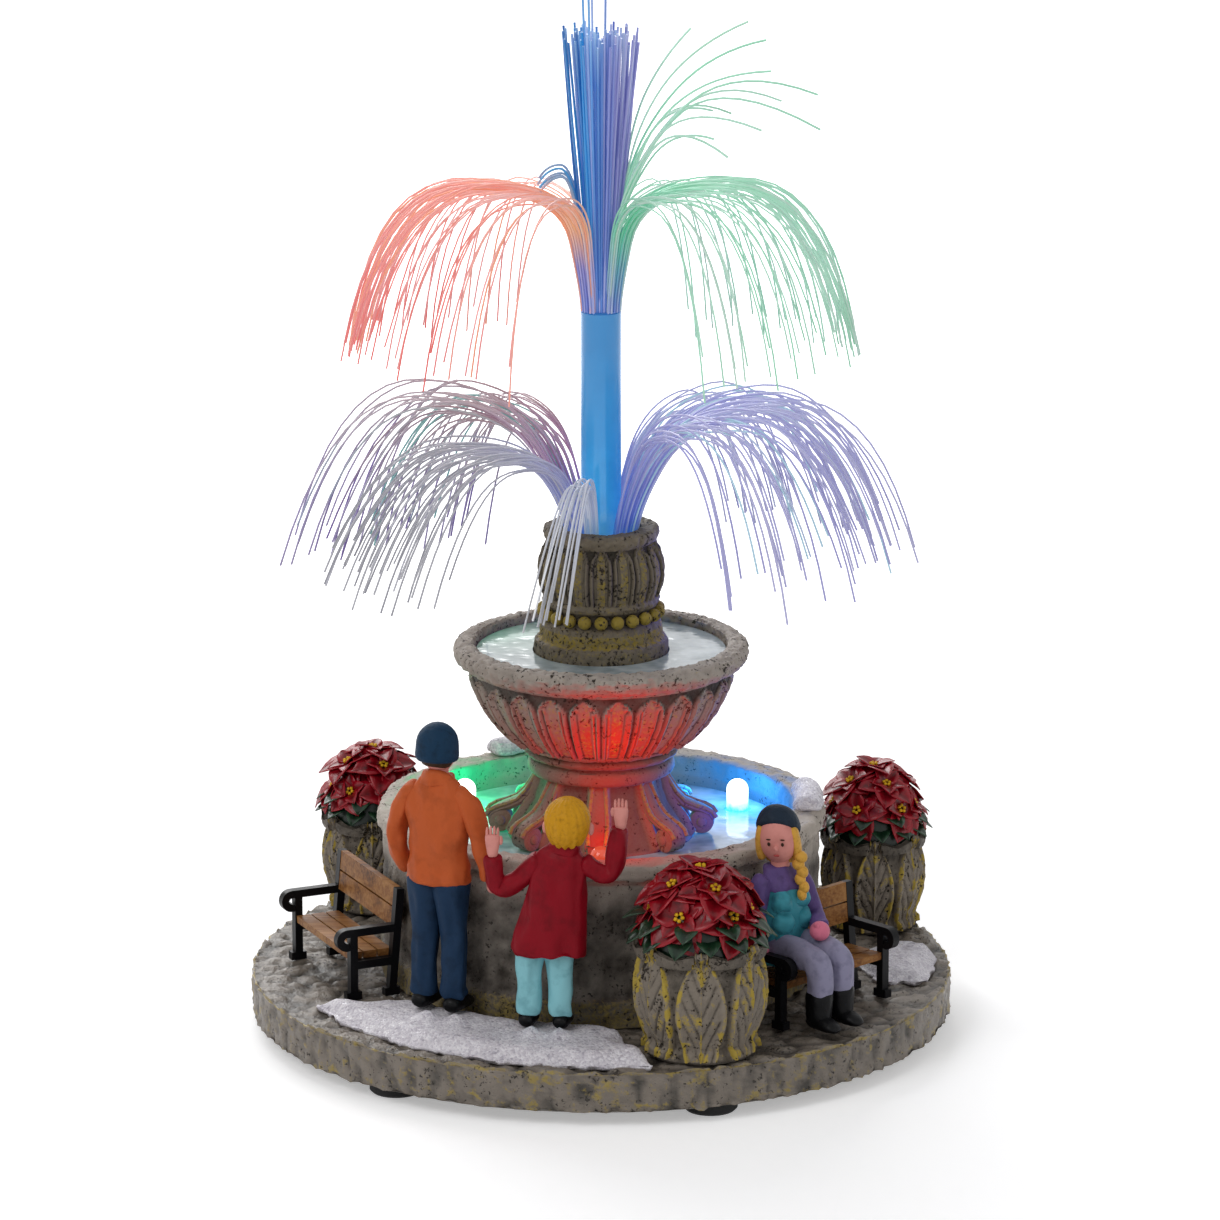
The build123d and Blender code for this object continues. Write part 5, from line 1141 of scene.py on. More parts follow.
def build_girl(vest, sleeve):
    """Girl who sits on the bench and looks round: knit hat, fair plait, quilted vest, gloves and boots."""
    shape = bmesh.new()
    pair_of(lambda side: limb(
        shape, 1,
        (-1.0, side * 2.8, 3.4, 2.8, 2.8), (1.5, side * 3.0, 3.6, 3.6, 3.3), (7.0, side * 3.3, 3.8, 3.4, 3.2),
        (11.4, side * 3.4, 3.7, 3.1, 3.0), (13.6, side * 3.4, 2.4, 3.0, 2.9),
        (14.2, side * 3.4, -0.6, 2.8, 2.8),
        (14.0, side * 3.4, -4.0, 2.6, 2.7), (13.9, side * 3.4, -5.4, 2.1, 2.2)))
    pair_of(lambda side: limb(
        shape, 2,
        (13.9, side * 3.4, -3.2, 2.5, 2.5), (13.9, side * 3.4, -3.5, 3.4, 3.2),
        (13.8, side * 3.4, -6.0, 3.2, 3.1),
        (13.8, side * 3.5, -9.0, 3.0, 2.9), (13.9, side * 3.5, -10.8, 2.9, 2.8)))
    pair_of(lambda side: shoe(shape, 2, 14.2, side * 3.6, -12.1, 1.15))
    # Vest and yoke by level, half depth and half width, and the pads of the quilting
    quilt = (
        (0.6, 3.8, 5.2), (-0.1, 4.3, 5.8), (1.6, 4.6, 6.1), (3.2, 4.4, 5.8), (6.5, 4.2, 5.5), (9.8, 4.1, 5.4),
        (16.2, 4.1, 5.5), (17.0, 3.8, 5.2),
    )
    yoke = (
        (16.2, 3.9, 5.4), (16.5, 4.1, 5.7), (17.3, 4.1, 5.8), (18.4, 3.8, 5.6), (20.0, 3.2, 4.6),
        (21.6, 2.6, 3.0),
    )
    for index, garment in ((0, quilt), (5, yoke)):
        stations = [(0.2 - 0.03 * level, 0, level, depth, width) for level, depth, width in garment]
        limb(shape, index, *stations, segments=20)
    for level in (5.2, 9.8, 14.2):
        pair_of(lambda side: ball(shape, 0, (2.5, side * 2.7, level), (2.4, 2.8, 2.6), 12))
    # Sleeves and gloves
    limb(
        shape, 5,
        (-0.4, 4.0, 19.4, 1.8, 1.7), (-0.3, 5.4, 18.0, 2.5, 2.3), (0.5, 6.7, 14.4, 2.5, 2.3),
        (1.5, 7.6, 10.8, 2.4, 2.2), (3.2, 7.0, 9.0, 2.2, 2.1), (5.8, 5.0, 8.6, 2.0, 2.0),
        (7.8, 3.4, 8.4, 2.0, 2.0),
        (8.3, 3.0, 8.4, 1.5, 1.5))
    limb(
        shape, 5,
        (-0.4, -4.0, 19.4, 1.8, 1.7), (-0.5, -5.4, 18.0, 2.5, 2.3), (-1.2, -6.4, 14.4, 2.5, 2.3),
        (-2.0, -6.9, 10.8, 2.4, 2.2), (-2.0, -7.0, 7.4, 2.2, 2.1), (-1.0, -6.9, 5.2, 2.0, 2.0),
        (-0.8, -6.9, 4.6, 1.5, 1.5))
    ball(shape, 6, (0.0, -6.9, 3.8), (1.6, 1.4, 1.4), 12)
    ball(shape, 6, (9.4, 1.6, 8.4), (2.2, 2.6, 2.1), 14)
    ball(shape, 6, (9.8, 0.4, 9.8), (1.0, 0.9, 0.9), 10)
    # Neck, head, face, hair and plait
    before = set(shape.verts)
    limb(shape, 3, (-0.1, 0, 20.4, 2.3, 2.3), (0.2, 0, 22.0, 2.2, 2.2), (0.5, 0, 23.6, 2.2, 2.2), segments=12)
    ball(shape, 3, (0.9, 0, 27.2), (4.5, 4.4, 5.2))
    doll_face(shape, 5.5, 26.2, 4.2, 3, 9, 7)
    pair_of(lambda side: limb(
        shape, 4,
        (1.0, side * 3.2, 30.4, 1.8, 1.2), (1.4, side * 3.9, 27.6, 1.9, 1.2),
        (1.0, side * 4.1, 24.6, 1.7, 1.2),
        (0.6, side * 3.9, 22.2, 1.1, 0.9)))
    limb(
        shape, 4,
        (-1.6, 0, 21.4, 2.2, 3.2), (-1.5, 0, 22.8, 3.0, 3.8), (-0.9, 0, 25.4, 3.7, 4.3),
        (-0.5, 0, 28.8, 4.2, 4.4))
    plait_knots = 6
    for index in range(plait_knots):
        share = index / (plait_knots - 1)
        knot = (1.6 + 0.6 * share, 4.5 + 0.5 * share + 0.35 * (-1) ** index, 23.6 - 8.0 * share)
        ball(shape, 4, knot, (1.7 - 0.5 * share, 1.7 - 0.5 * share, 1.4), 10)
    # Hat, tipped back; then the head is turned to look round, and the body leans
    bare = set(shape.verts)
    limb(
        shape, 8,
        (-0.4, 0, 28.9, 4.2, 4.3), (-0.4, 0, 29.1, 4.8, 4.9), (-0.4, 0, 30.2, 5.0, 5.1),
        (-0.4, 0, 31.0, 4.7, 4.8),
        (-0.6, 0, 32.4, 4.2, 4.3), (-0.9, 0, 33.6, 3.0, 3.1), (-1.0, 0, 34.3, 1.4, 1.4), segments=24)
    for kept, pivot, angle, axis in (
        (bare, (0.4, 0.0, 29.0), -30.0, "Y"), (before, (0.2, 0.0, 22.0), -54.0, "Z"),
    ):
        bmesh.ops.rotate(
            shape, cent=Vector(pivot) * MM, matrix=Matrix.Rotation(math.radians(angle), 3, axis),
            verts=[vert for vert in shape.verts if vert not in kept])
    for vert in shape.verts:
        level = max(0.0, vert.co.z / MM - 6.0)
        vert.co += Vector((-0.02 * level, -0.09 * level, 0.07 * level)) * MM
    paints = [
        cloth_paint("teal_vest", vest, 0.35, 0.42, 3.0),
        *table_paints("lilac_trousers", "black_shoe", "skin", "fair_hair"),
        cloth_paint("purple_sleeve", sleeve, 0.35, 0.5, 2.4),
        *table_paints("pink_glove", "rose", "dark_teal_knit", "brown_hair"),
    ]
    place_figure(
        shape, "girl_painted", "girl_figure", paints,
        place=(40.6, -40.4, 25.8), facing=-45.0, cloth={0, 1, 5})


def strand_points(root, stem, rise, fall, run, bend, fall_bend, tail, angle, drift):
    """Corners of a fibre's path in millimetres: up from its root, out, over the top, and down to its end.
    The path turns about the axis by drift on its way, so that no two fibres lie quite alike."""
    foot_bend = 10.0
    up, down = math.radians(rise), math.radians(fall)
    turn_out = foot_bend * math.tan((math.pi / 2 - up) / 2)
    rise_length = turn_out + run + bend * math.tan(up / 2)
    over = bend * math.tan(up / 2) + fall_bend * math.tan(down / 2)
    fall_length = fall_bend * math.tan(down / 2) + tail
    radius, level = root
    path = [(radius, level), (radius, level + stem + turn_out)]
    path.append((path[-1][0] + rise_length * math.cos(up), path[-1][1] + rise_length * math.sin(up)))
    path.append((path[-1][0] + over, path[-1][1]))
    path.append((path[-1][0] + fall_length * math.cos(down), path[-1][1] - fall_length * math.sin(down)))
    points = []
    for index, (radius, level) in enumerate(path):
        turn = math.radians(angle + drift * (index / (len(path) - 1)) ** 2)
        points.append((radius * math.cos(turn), radius * math.sin(turn), level))
    return points


def thread_mesh(name, paths, thickness, turns):
    """Round threads of one thickness along paths, as one mesh."""
    curve = bpy.data.curves.new(name, "CURVE")
    curve.dimensions = "3D"
    curve.resolution_u = turns
    curve.bevel_depth = thickness / 2 * MM
    curve.bevel_resolution = 1
    curve.use_fill_caps = True
    for path in paths:
        spline = curve.splines.new("NURBS")
        spline.points.add(len(path) - 1)
        for point, (x, y, z) in zip(spline.points, path):
            point.co = (x * MM, y * MM, z * MM, 1.0)
        spline.order_u = 3
        spline.use_endpoint_u = True
    holder = bpy.data.objects.new(name, curve)
    mesh = bpy.data.meshes.new_from_object(holder)
    bpy.data.objects.remove(holder)
    bpy.data.curves.remove(curve)
    return mesh


def build_threads(name, paths, material, node, thickness, turns=7):
    """One spray of fibres as a piece, whose points know how far along their thread they are, and which thread
    it is. The threads have the same number of points each, in the order of the paths."""
    mesh = thread_mesh(name, paths, thickness, turns)
    shape = bmesh.new()
    shape.from_mesh(mesh)
    bpy.data.meshes.remove(mesh)
    along = shape.verts.layers.float.new("along")
    thread = shape.verts.layers.float.new("thread")
    chance = random.Random(len(paths))
    shades = [chance.random() for path in paths]
    each = len(shape.verts) // len(paths)
    for index, vert in enumerate(shape.verts):
        number = min(index // each, len(paths) - 1)
        root, tip = Vector(paths[number][0]) * MM, Vector(paths[number][-1]) * MM
        vert[thread] = shades[number]
        near, far = (vert.co - root).length, (vert.co - tip).length
        vert[along] = near / max(near + far, 1e-9)
    smooth_faces(shape.faces)
    make_piece(shape, name, [material], [node] if node else (), 70.0)


# Bundles that sprays come out of: radius of the inner roots, step between the rings of roots, number of
# rings, straight stem and level of the roots, in millimetres
URN_BUNDLE = (5.15, 0.55, 6, 5.0, SOCKET_LEVEL + ROOT_LIFT)
SLEEVE_BUNDLE = (2.75, 0.55, 4, 2.5, SLEEVE_TOP + ROOT_LIFT)
HOOK_BUNDLE = (2.2, 0.5, 2, 2.5, SLEEVE_TOP + ROOT_LIFT)


def spray_paths(seed, count, sector, bundle, rise, fall, arc, drift=0.0, sink=0.0, vary=0.04):
    """Paths of a spray in one sector: nested rings of roots, each fibre a little different in rise, reach and
    fall. The arc is a fibre's run, its bend over the top, its bend downwards and its tail. Fibres that go to
    the back have a run that is shorter by up to sink millimetres."""
    chance = random.Random(seed)
    first, last = sector
    root, step, rings, stem, level = bundle
    run, bend, fall_bend, tail = arc
    steepest, sway = 88.0, 0.10
    paths = []
    for index in range(count):
        ring = index % rings
        angle = first + (index + 0.5) * (last - first) / count
        swing = math.sin(index * GOLDEN_ANGLE) * sway
        spread = chance.uniform(1 - vary, 1 + 0.3 * vary)
        sunk = sink * max(0.0, math.sin(math.radians(angle)))
        paths.append(strand_points(
            (root + (rings - 1 - ring) * step, level), stem,
            min(steepest, rise + chance.uniform(-1.2, 0.8)), fall * (1 + 0.5 * swing),
            run * (1 + 0.06 * ring) * spread - sunk, bend * spread, fall_bend * (1 + swing) * spread,
            tail * (1 - swing) * chance.uniform(0.80, 1.10), angle, drift + chance.uniform(-2.0, 2.0),
        ))
    return paths


def build_lower_fibres(thickness, density):
    """Lower sprays out of the urn: silver and mauve on the left, lavender on the right, a white tuft in
    front."""
    mauve = pick(
        "acrylic_fibre_mauve", lit_fibre,
        (0.0, "#38B4F0"), (0.08, "#5A7AD8"), (0.24, "#A876A6"), (0.42, "#AC8E96"), (0.62, "#A08EA0"),
        (0.82, "#7C64A8"), (1.0, "#5C3E92"), stray="#6FB0AC")
    silver = pick(
        "acrylic_fibre_silver", lit_fibre,
        (0.0, "#38B4F0"), (0.10, "#6E86DA"), (0.30, "#A6A6CC"), (0.52, "#A2A2AE"), (0.85, "#8E8E98"),
        (1.0, "#A2A2AA"), stray="#BCBCC6")
    lavender = pick(
        "acrylic_fibre_lavender", lit_fibre,
        (0.0, "#38B4F0"), (0.10, "#5C80DC"), (0.28, "#9C9EDA"), (0.55, "#AEAEE0"), (0.88, "#9A98CE"),
        (1.0, "#A8A6D2"), stray="#B4DCE8")
    # Node, sector and number of fibres, angles of rise and fall, run, tail, material and seed
    sprays = (
        ("lower_left_front_fibres", (182.0, 232.0), 38, 55.0, 66.0, 6.0, 8.5, silver, 21),
        ("lower_left_back_fibres", (116.0, 178.0), 44, 60.0, 72.0, 15.0, 15.0, mauve, 22),
        ("lower_right_front_fibres", (-66.0, -4.0), 44, 59.0, 71.0, 15.0, 9.0, lavender, 23),
        ("lower_right_back_fibres", (0.0, 62.0), 44, 60.0, 72.0, 15.0, 9.5, lavender, 24),
    )
    for node, sector, count, rise, fall, run, tail, material, seed in sprays:
        paths = spray_paths(
            seed, int(count * density), sector, URN_BUNDLE, rise, fall, (run, 20.0, 33.0, tail),
            sink=10.0, vary=0.2)
        name = node.replace("fibres", "threads")
        build_threads(name, paths, material, node, 0.82 * thickness)
    front = spray_paths(
        25, int(14 * density), (-116.0, -94.0), URN_BUNDLE, 73.0, 70.0, (6.0, 3.5, 7.0, 26.0), drift=-10.0)
    tuft = pick(
        "acrylic_fibre_white", lit_fibre,
        (0.0, "#5CC8F4"), (0.25, "#B9C4DC"), (0.60, "#B4B6BC"), (1.0, "#9A9CA2"), stray="#F2F4F8")
    build_threads("lower_front_threads", front, tuft, "lower_front_fibres", 0.8 * thickness)


# Wisps: turn about the axis in degrees, where each leaves the crown, its highest place and its end, as radius
# and level
WISPS = (
    (-6.0, (7.0, 205.0), (20.0, 224.0), (32.5, 229.5)), (8.0, (6.5, 206.0), (14.0, 221.0), (20.0, 227.0)),
    (-22.0, (7.0, 200.0), (24.0, 219.0), (40.0, 220.5)), (16.0, (7.0, 201.0), (24.0, 221.0), (38.0, 223.0)),
    (-14.0, (6.5, 196.0), (26.0, 219.0), (49.5, 207.0)), (4.0, (6.5, 197.0), (28.0, 220.0), (48.0, 212.0)),
    (24.0, (6.0, 194.0), (26.0, 216.0), (44.0, 208.0)), (-34.0, (6.0, 193.0), (22.0, 214.0), (42.0, 209.0)),
    (34.0, (6.0, 192.0), (18.0, 210.0), (30.0, 206.0)), (-4.0, (5.5, 190.0), (16.0, 206.0), (25.0, 203.0)),
    (-40.0, (5.5, 188.0), (20.0, 211.0), (36.0, 203.0)), (40.0, (5.5, 188.0), (20.0, 212.0), (38.0, 204.0)),
)


def build_upper_fibres(thickness, density, left, right):
    """Upper sprays out of the sleeve: coral on the left, mint on the right, blue hooks and loose wisps."""
    coral = pick(
        "acrylic_fibre_coral", lit_fibre,
        (0.0, "#5F7CD0"), (0.16, "#8A88CC"), (0.27, "#ECAE7C"), (0.40, "#F29C88"), (0.70, "#EE827A"),
        (1.0, left), stray="#F0A07C", glow=0.2)
    mint = pick(
        "acrylic_fibre_mint", lit_fibre,
        (0.0, "#5F7CD0"), (0.15, "#5FA8C0"), (0.27, "#62D0A4"), (0.45, right), (0.75, "#A6E0C4"),
        (1.0, "#82CBA4"), stray="#C4DCD0", glow=0.15)
    # Node, first and last edge of the sector, edge of the gathered fibres, angles of rise and fall, material,
    # slot and seed
    sprays = (
        ("upper_left_front_fibres", 182.0, 250.0, 194.0, 79.0, 76.0, coral, "fibre_red", 31),
        ("upper_left_back_fibres", 178.0, 110.0, 164.0, 80.0, 80.0, coral, "fibre_red", 32),
        ("upper_right_front_fibres", -2.0, -70.0, -14.0, 79.0, 76.0, mint, "fibre_green", 33),
        ("upper_right_back_fibres", 2.0, 70.0, 16.0, 80.0, 80.0, mint, "fibre_green", 34),
    )
    # Each spray opens over its sector, with more fibres gathered near the first edge
    open_count, gathered_count, gathered_seed = 25, 9, 100
    for node, first, last, gathered, rise, fall, material, slot, seed in sprays:
        form = (SLEEVE_BUNDLE, rise, fall, (8.0, 20.0, 29.0, 13.0))
        paths = spray_paths(seed, int(open_count * density), (first, last), *form, sink=6.0)
        paths += spray_paths(
            seed + gathered_seed, int(gathered_count * density), (first, gathered), *form, sink=6.0)
        build_threads(node.replace("fibres", "threads"), paths, material, node, 0.74 * thickness)
    hooks = spray_paths(36, 5, (160.0, 200.0), HOOK_BUNDLE, 82.0, 58.0, (24.0, 4.0, 4.0, 1.5))
    blue = pick(
        "acrylic_fibre_blue", lit_fibre,
        (0.0, "#3E6CC0"), (0.5, "#1E86C8"), (0.9, "#2A7CB0"), (1.0, "#D06A60"), stray="#3FA0DC")
    build_threads("hook_threads", hooks, blue, None, thickness)
    wisps = []
    for angle, leave, top, end in WISPS:
        turn = math.radians(angle)
        profile = ((2.2, SLEEVE_TOP + ROOT_LIFT), (3.6, SLEEVE_TOP + 14.0), leave, top, end)
        wisps.append([(radius * math.cos(turn), radius * math.sin(turn), level) for radius, level in profile])
    build_threads("wisp_threads", wisps, mint, "wisp_fibres", thickness)


def build_crown(thickness, density):
    """Crown: a sheaf of straight fibres that opens a little towards its cut ends, with a few long strays."""
    chance = random.Random(41)
    count = int(104 * density)
    sheaf_radius, sheaf_lean, sheaf_length = 3.0, 5.6, 63.0
    stem, stray_length = 3.0, 72.5
    paths = []
    for index in range(count):
        share = math.sqrt((index + 0.5) / count)
        angle = index * GOLDEN_ANGLE
        lean = math.tan(math.radians(sheaf_lean * share * chance.uniform(0.8, 1.1)))
        length = sheaf_length * chance.uniform(0.94, 1.01)
        if index % 26 == 9:
            length = stray_length
        bow = chance.uniform(-0.6, 0.6)
        path = []
        for climb in (0.0, stem, 0.35 * length, 0.7 * length, length):
            bowed = bow * math.sin(math.pi * climb / length)
            reach = sheaf_radius * share + max(0.0, climb - stem) * lean + bowed
            level = SLEEVE_TOP + ROOT_LIFT + climb
            path.append((reach * math.cos(angle), reach * math.sin(angle), level))
        paths.append(path)
    material = pick("acrylic_fibre_crown", crown_fibre)
    build_threads("crown_threads", paths, material, "crown_fibres", thickness, turns=3)


# Lumps of snow at the shoes of the man and the boy, as x and y, with their height and half width
SNOW_LUMPS = ((-38.5, -50.5), (-32.0, -53.0), (-15.5, -62.5), (-9.0, -63.5))
LUMP_HEIGHT = 2.0
LUMP_WIDTH = 2.2

# How far drifts sink into the paving, and the seed of their ragged edge
SNOW_SINK = 0.9
SNOW_SEED = 1


def fine_copy(node, size):
    """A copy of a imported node's shape with its edges cut down to four times size, and softened."""
    mesh = CAD_NODES[node].data.copy()
    shape = bmesh.new()
    shape.from_mesh(mesh)
    bpy.data.meshes.remove(mesh)
    bmesh.ops.remove_doubles(shape, verts=shape.verts, dist=0.01 * MM)
    while True:
        long_edges = [edge for edge in shape.edges if edge.calc_length() > 4 * size * MM]
        if not long_edges:
            break
        bmesh.ops.subdivide_edges(shape, edges=long_edges, cuts=1, use_grid_fill=True)
    bmesh.ops.triangulate(shape, faces=shape.faces)
    for _ in range(2):
        bmesh.ops.smooth_vert(
            shape, verts=shape.verts, factor=0.5, use_axis_x=True, use_axis_y=True, use_axis_z=True)
    shape.normal_update()
    return shape


def thin_edge(shape, base):
    """Lets a drift run out thin and ragged towards its edge, and sinks its underside into the paving."""
    edge = [vert.co.copy() for vert in shape.verts if abs(vert.normal.z) < 0.6 and vert.normal.y < 0.3]
    tree = KDTree(len(edge))
    for index, spot in enumerate(edge):
        tree.insert((spot.x, spot.y, 0.0), index)
    tree.balance()
    thin_width, ragged_reach = 5.0, 1.1
    for vert in shape.verts:
        inside = tree.find((vert.co.x, vert.co.y, 0.0))[2] / MM
        width = thin_width + 2.0 * noise.noise(vert.co / (6.0 * MM))
        drift = 0.12 + 0.88 * smooth_step(inside, 0.0, width)
        vert.co.z = base + (vert.co.z - base) * drift
        ragged = noise.noise_vector(vert.co / (3.0 * MM)) * (1 - smooth_step(inside, 0.0, 3.0))
        vert.co += Vector((ragged.x, ragged.y, 0.0)) * (ragged_reach * MM)
        if vert.normal.z < -0.5:
            vert.co.z -= SNOW_SINK * MM


def build_snow():
    """Snow drifts on the paving and lumps on the rim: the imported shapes, made crumbly."""
    noise.seed_set(SNOW_SEED)
    lumps = [Vector(spot) for spot in SNOW_LUMPS]
    # Node, size of the mesh, depth of the crumbs and how far it is puffed up
    drifts = (("snow_front", 0.55, 0.55, 0.0), ("snow_right", 0.5, 0.55, 0.0), ("snow_rim", 0.4, 0.4, 0.8))
    for node, size, depth, puff in drifts:
        shape = fine_copy(node, size)
        base = min(vert.co.z for vert in shape.verts)
        if not puff:
            thin_edge(shape, base)
        moves = []
        for vert in shape.verts:
            crumb = puff + chips(vert.co / MM, 2.4, depth, 13.0)
            moves.append((vert, vert.normal * (crumb * MM)))
        for vert, move in moves:
            vert.co += move
            if vert.co.z > base + 0.5 * MM:
                near = [(vert.co.xy / MM - lump).length / LUMP_WIDTH for lump in lumps]
                vert.co.z += sum(LUMP_HEIGHT * MM * math.exp(-share ** 2) for share in near)
            vert.co.z = max(vert.co.z, base - SNOW_SINK * MM)
        smooth_faces(shape.faces)
        make_piece(shape, f"{node}_drift", [pick("snow_paste_with_mica", glitter_snow)], [node], 70.0)


def dress_packed_nodes():
    """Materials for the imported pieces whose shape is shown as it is: benches, lamps, water, sleeve and the
    works below."""
    pool_shine = pool_lights(red=1.2, blue=3.2, green=2.8)
    # A painted green light over the left of the bowl's water, where no lamp stands
    bowl_shine = [((-24.0, 12.0, 96.0), 20.0, "#5FD69A", 0.32)]
    finishes = [
        (("rubber_feet",), "black_rubber", moulded_plastic, "#141416", 0.8),
        (("bottom_plate", "battery_case"), "black_abs_spark_texture", moulded_plastic, "#191A1C", 0.55),
        (("battery_door",), "black_abs_door", moulded_plastic, "#1C1D20", 0.48),
        (("switch_body",), "black_nylon", moulded_plastic, "#101012", 0.5),
        (("switch_knob",), "grey_acetal", moulded_plastic, "#3A3B40", 0.35),
        (("plate_screws", "board_screws"), "zinc_plated_steel", plated_metal, "#B9BABD", 0.35),
        (("hinge_pin",), "drawn_steel_wire", plated_metal, "#A9ABB0", 0.3),
        (("contact_springs", "contact_plates"), "nickel_plated_spring", plated_metal, "#C8C7C0", 0.28),
        (("battery_cells",), "shrink_film_jacket", moulded_plastic, "#2B5C34", 0.25, 2.0),
        (("led_board",), "green_solder_mask", moulded_plastic, "#14532A", 0.3, 1.0),
        (("leads",), "red_pvc_sleeve", moulded_plastic, "#9C1712", 0.4, 1.5),
        (("fibre_ferrule",), "turned_brass", plated_metal, "#C9A24C", 0.25),
        (("fibre_core",), "acrylic_rod_lit", lit_tube, "#4FB4F4", "#2F8FE0"),
        (("fibre_sleeve",), "acrylic_sleeve_lit", lit_tube, "#44B6F2", "#3098DA"),
        (("fibre_led",), "clear_lens_white", lit_lens, "#DCEBFF", "#FFFFFF", 3.0),
        (("pool_led_red",), "clear_lens_red", lit_lens, "#A01E0E", "#E0563A", 0.4),
        (("pool_led_blue",), "clear_lens_blue", lit_lens, "#3C9CF0", "#F2FAFF", 2.2),
        (("pool_led_green",), "clear_lens_green", lit_lens, "#3CDC8C", "#F0FFF6", 2.2),
        (("pool_water",), "casting_resin_pool", cast_water, "#7E99A6", "#B4C8D2", pool_shine),
        (("bowl_water",), "casting_resin_bowl", cast_water, "#8A979C", "#B6C0C4", bowl_shine),
    ]
    for side, along in (("left", math.atan2(0.910, -0.415)), ("right", math.atan2(-0.707, -0.707))):
        boards = (f"bench_{side}_seat", f"bench_{side}_back")
        frames = (f"bench_{side}_near_frame", f"bench_{side}_far_frame")
        finishes.append((boards, f"stained_beech_{side}", bench_wood, along))
        finishes.append((frames, "painted_cast_iron", moulded_plastic, "#0E0E10", 0.36, 0.8))
    for nodes, name, maker, *settings in finishes:
        for node in nodes:
            slots = CAD_NODES[node].data.materials
            slots.clear()
            slots.append(pick(name, maker, *settings))


def direct_view(node):
    """1 for what the camera sees, also in gloss and through clear parts, and 0 for the light that falls on
    pieces."""
    path = node("LightPath", {}, None).outputs
    gloss = node("Math", {0: path["Is Glossy Ray"], 1: path["Is Transmission Ray"]}, operation="MAXIMUM")
    return node("Math", {0: path["Is Camera Ray"], 1: gloss}, operation="MAXIMUM")


def white_paper(name):
    """Seamless paper sweep: matt and pale, it takes the shadow and is white where the camera looks past the
    lamp."""
    material, node, shader, place = new_surface(name)
    pulp = node("TexNoise", blots(place, 3.0))
    tone = node("ValToRGB", {"Fac": pulp}, stops=[(0.3, "#F1F1F2"), (0.7, "#F6F6F7")])
    away = node("VectorMath", {0: place}, "Value", operation="LENGTH")
    sweep = {"From Min": 0.12, "From Max": 0.60, "To Min": 0.36, "To Max": 1.0}
    level = node("MapRange", {"Value": away, **sweep}, interpolation_type="SMOOTHSTEP")
    lift = node("Math", {0: direct_view(node), 1: level}, operation="MULTIPLY")
    feed(shader, {
        "Base Color": tone, "Roughness": 0.9, "Specular IOR Level": 0.1,
        "Emission Color": "#FFFFFF", "Emission Strength": lift,
    })
    return material


def build_stage():
    """Paper floor, soft lamps, white surroundings and the camera."""
    scene = bpy.context.scene
    shape = bmesh.new()
    bmesh.ops.create_circle(shape, cap_ends=True, segments=96, radius=8.0)
    mesh = bpy.data.meshes.new("paper_floor")
    shape.to_mesh(mesh)
    shape.free()
    mesh.materials.append(pick("seamless_paper", white_paper))
    floor = bpy.data.objects.new("paper_floor", mesh)
    scene.collection.objects.link(floor)

    # Lamps: place and width in metres, and power in watts
    lamps = (
        ("key", (-0.75, -0.85, 1.05), 0.8, 6.0),
        ("fill", (0.95, -0.80, 0.75), 0.9, 2.2),
        ("back", (-0.35, 1.0, 0.8), 1.0, 11.0),
    )
    lit_middle = Vector((0.0, 0.0, 0.09))
    for name, place, size, power in lamps:
        light = bpy.data.lights.new(name, "AREA")
        light.shape = "DISK"
        light.size = size
        light.energy = power
        lamp = bpy.data.objects.new(name, light)
        lamp.location = place
        lamp.rotation_euler = (lit_middle - Vector(place)).to_track_quat("-Z", "Y").to_euler()
        scene.collection.objects.link(lamp)

    world = bpy.data.worlds.new("studio")
    scene.world = world
    world.use_nodes = True
    world.node_tree.nodes.clear()
    node = partial(add_node, world.node_tree)
    level = node("MapRange", {"Value": direct_view(node), "To Min": 0.34, "To Max": 1.0})
    sky = node("Background", {"Color": "#FFFFFF", "Strength": level})
    node("OutputWorld", {"Surface": sky}, None)

    camera = bpy.data.objects.new("camera", bpy.data.cameras.new("camera"))
    aim = Vector((2.0, 0.0, 95.4)) * MM
    distance = 1.5
    tilt = math.radians(14.6)
    back = Vector((0.0, -math.cos(tilt), math.sin(tilt)))
    camera.location = aim + back * distance
    camera.rotation_euler = (-back).to_track_quat("-Z", "Y").to_euler()
    camera.data.sensor_width = 36.0
    camera.data.lens = 197.1
    camera.data.clip_start = 0.05
    camera.data.clip_end = 50.0
    scene.collection.objects.link(camera)
    scene.camera = camera
    scene.view_settings.view_transform = "Standard"


def colour_property(name, description, code):
    """A colour that a user may change, with a hex code as its default."""
    return bpy.props.FloatVectorProperty(
        name=name, description=description, subtype="COLOR", min=0.0, max=1.0, default=linear(code)[:3])


class FountainSizes(bpy.types.PropertyGroup):
    """Sizes of the fountain's dressing that a user may change."""
    fibre_thickness: bpy.props.FloatProperty(
        name="Fibre thickness", description="Diameter of one optical fibre", default=0.58 * MM, min=0.2 * MM,
        max=1.0 * MM, precision=5, unit="LENGTH")
    fibre_density: bpy.props.FloatProperty(
        name="Fibre density", description="Number of fibres against the packed sprays", default=1.0, min=1.0,
        max=2.0, subtype="FACTOR")


class FountainColours(bpy.types.PropertyGroup):
    """Paint colours that a user may change."""
    jacket: colour_property("Jacket", "Paint of the man's jacket", "#BE5A2E")
    jeans: colour_property("Jeans", "Paint of the man's jeans", "#1C334E")
    coat: colour_property("Coat", "Paint of the boy's coat", "#860C1C")
    vest: colour_property("Vest", "Paint of the girl's quilted vest", "#3F8F9E")
    sleeve: colour_property("Sleeves", "Paint of the girl's sleeves and yoke", "#5E4B7E")
    bracts: colour_property("Bracts", "Paint of the poinsettia flowers", "#820918")
    left_spray: colour_property("Left spray", "Light in the ends of the upper left fibres", "#E0443E")
    right_spray: colour_property("Right spray", "Light in the upper right fibres", "#A0DFC0")


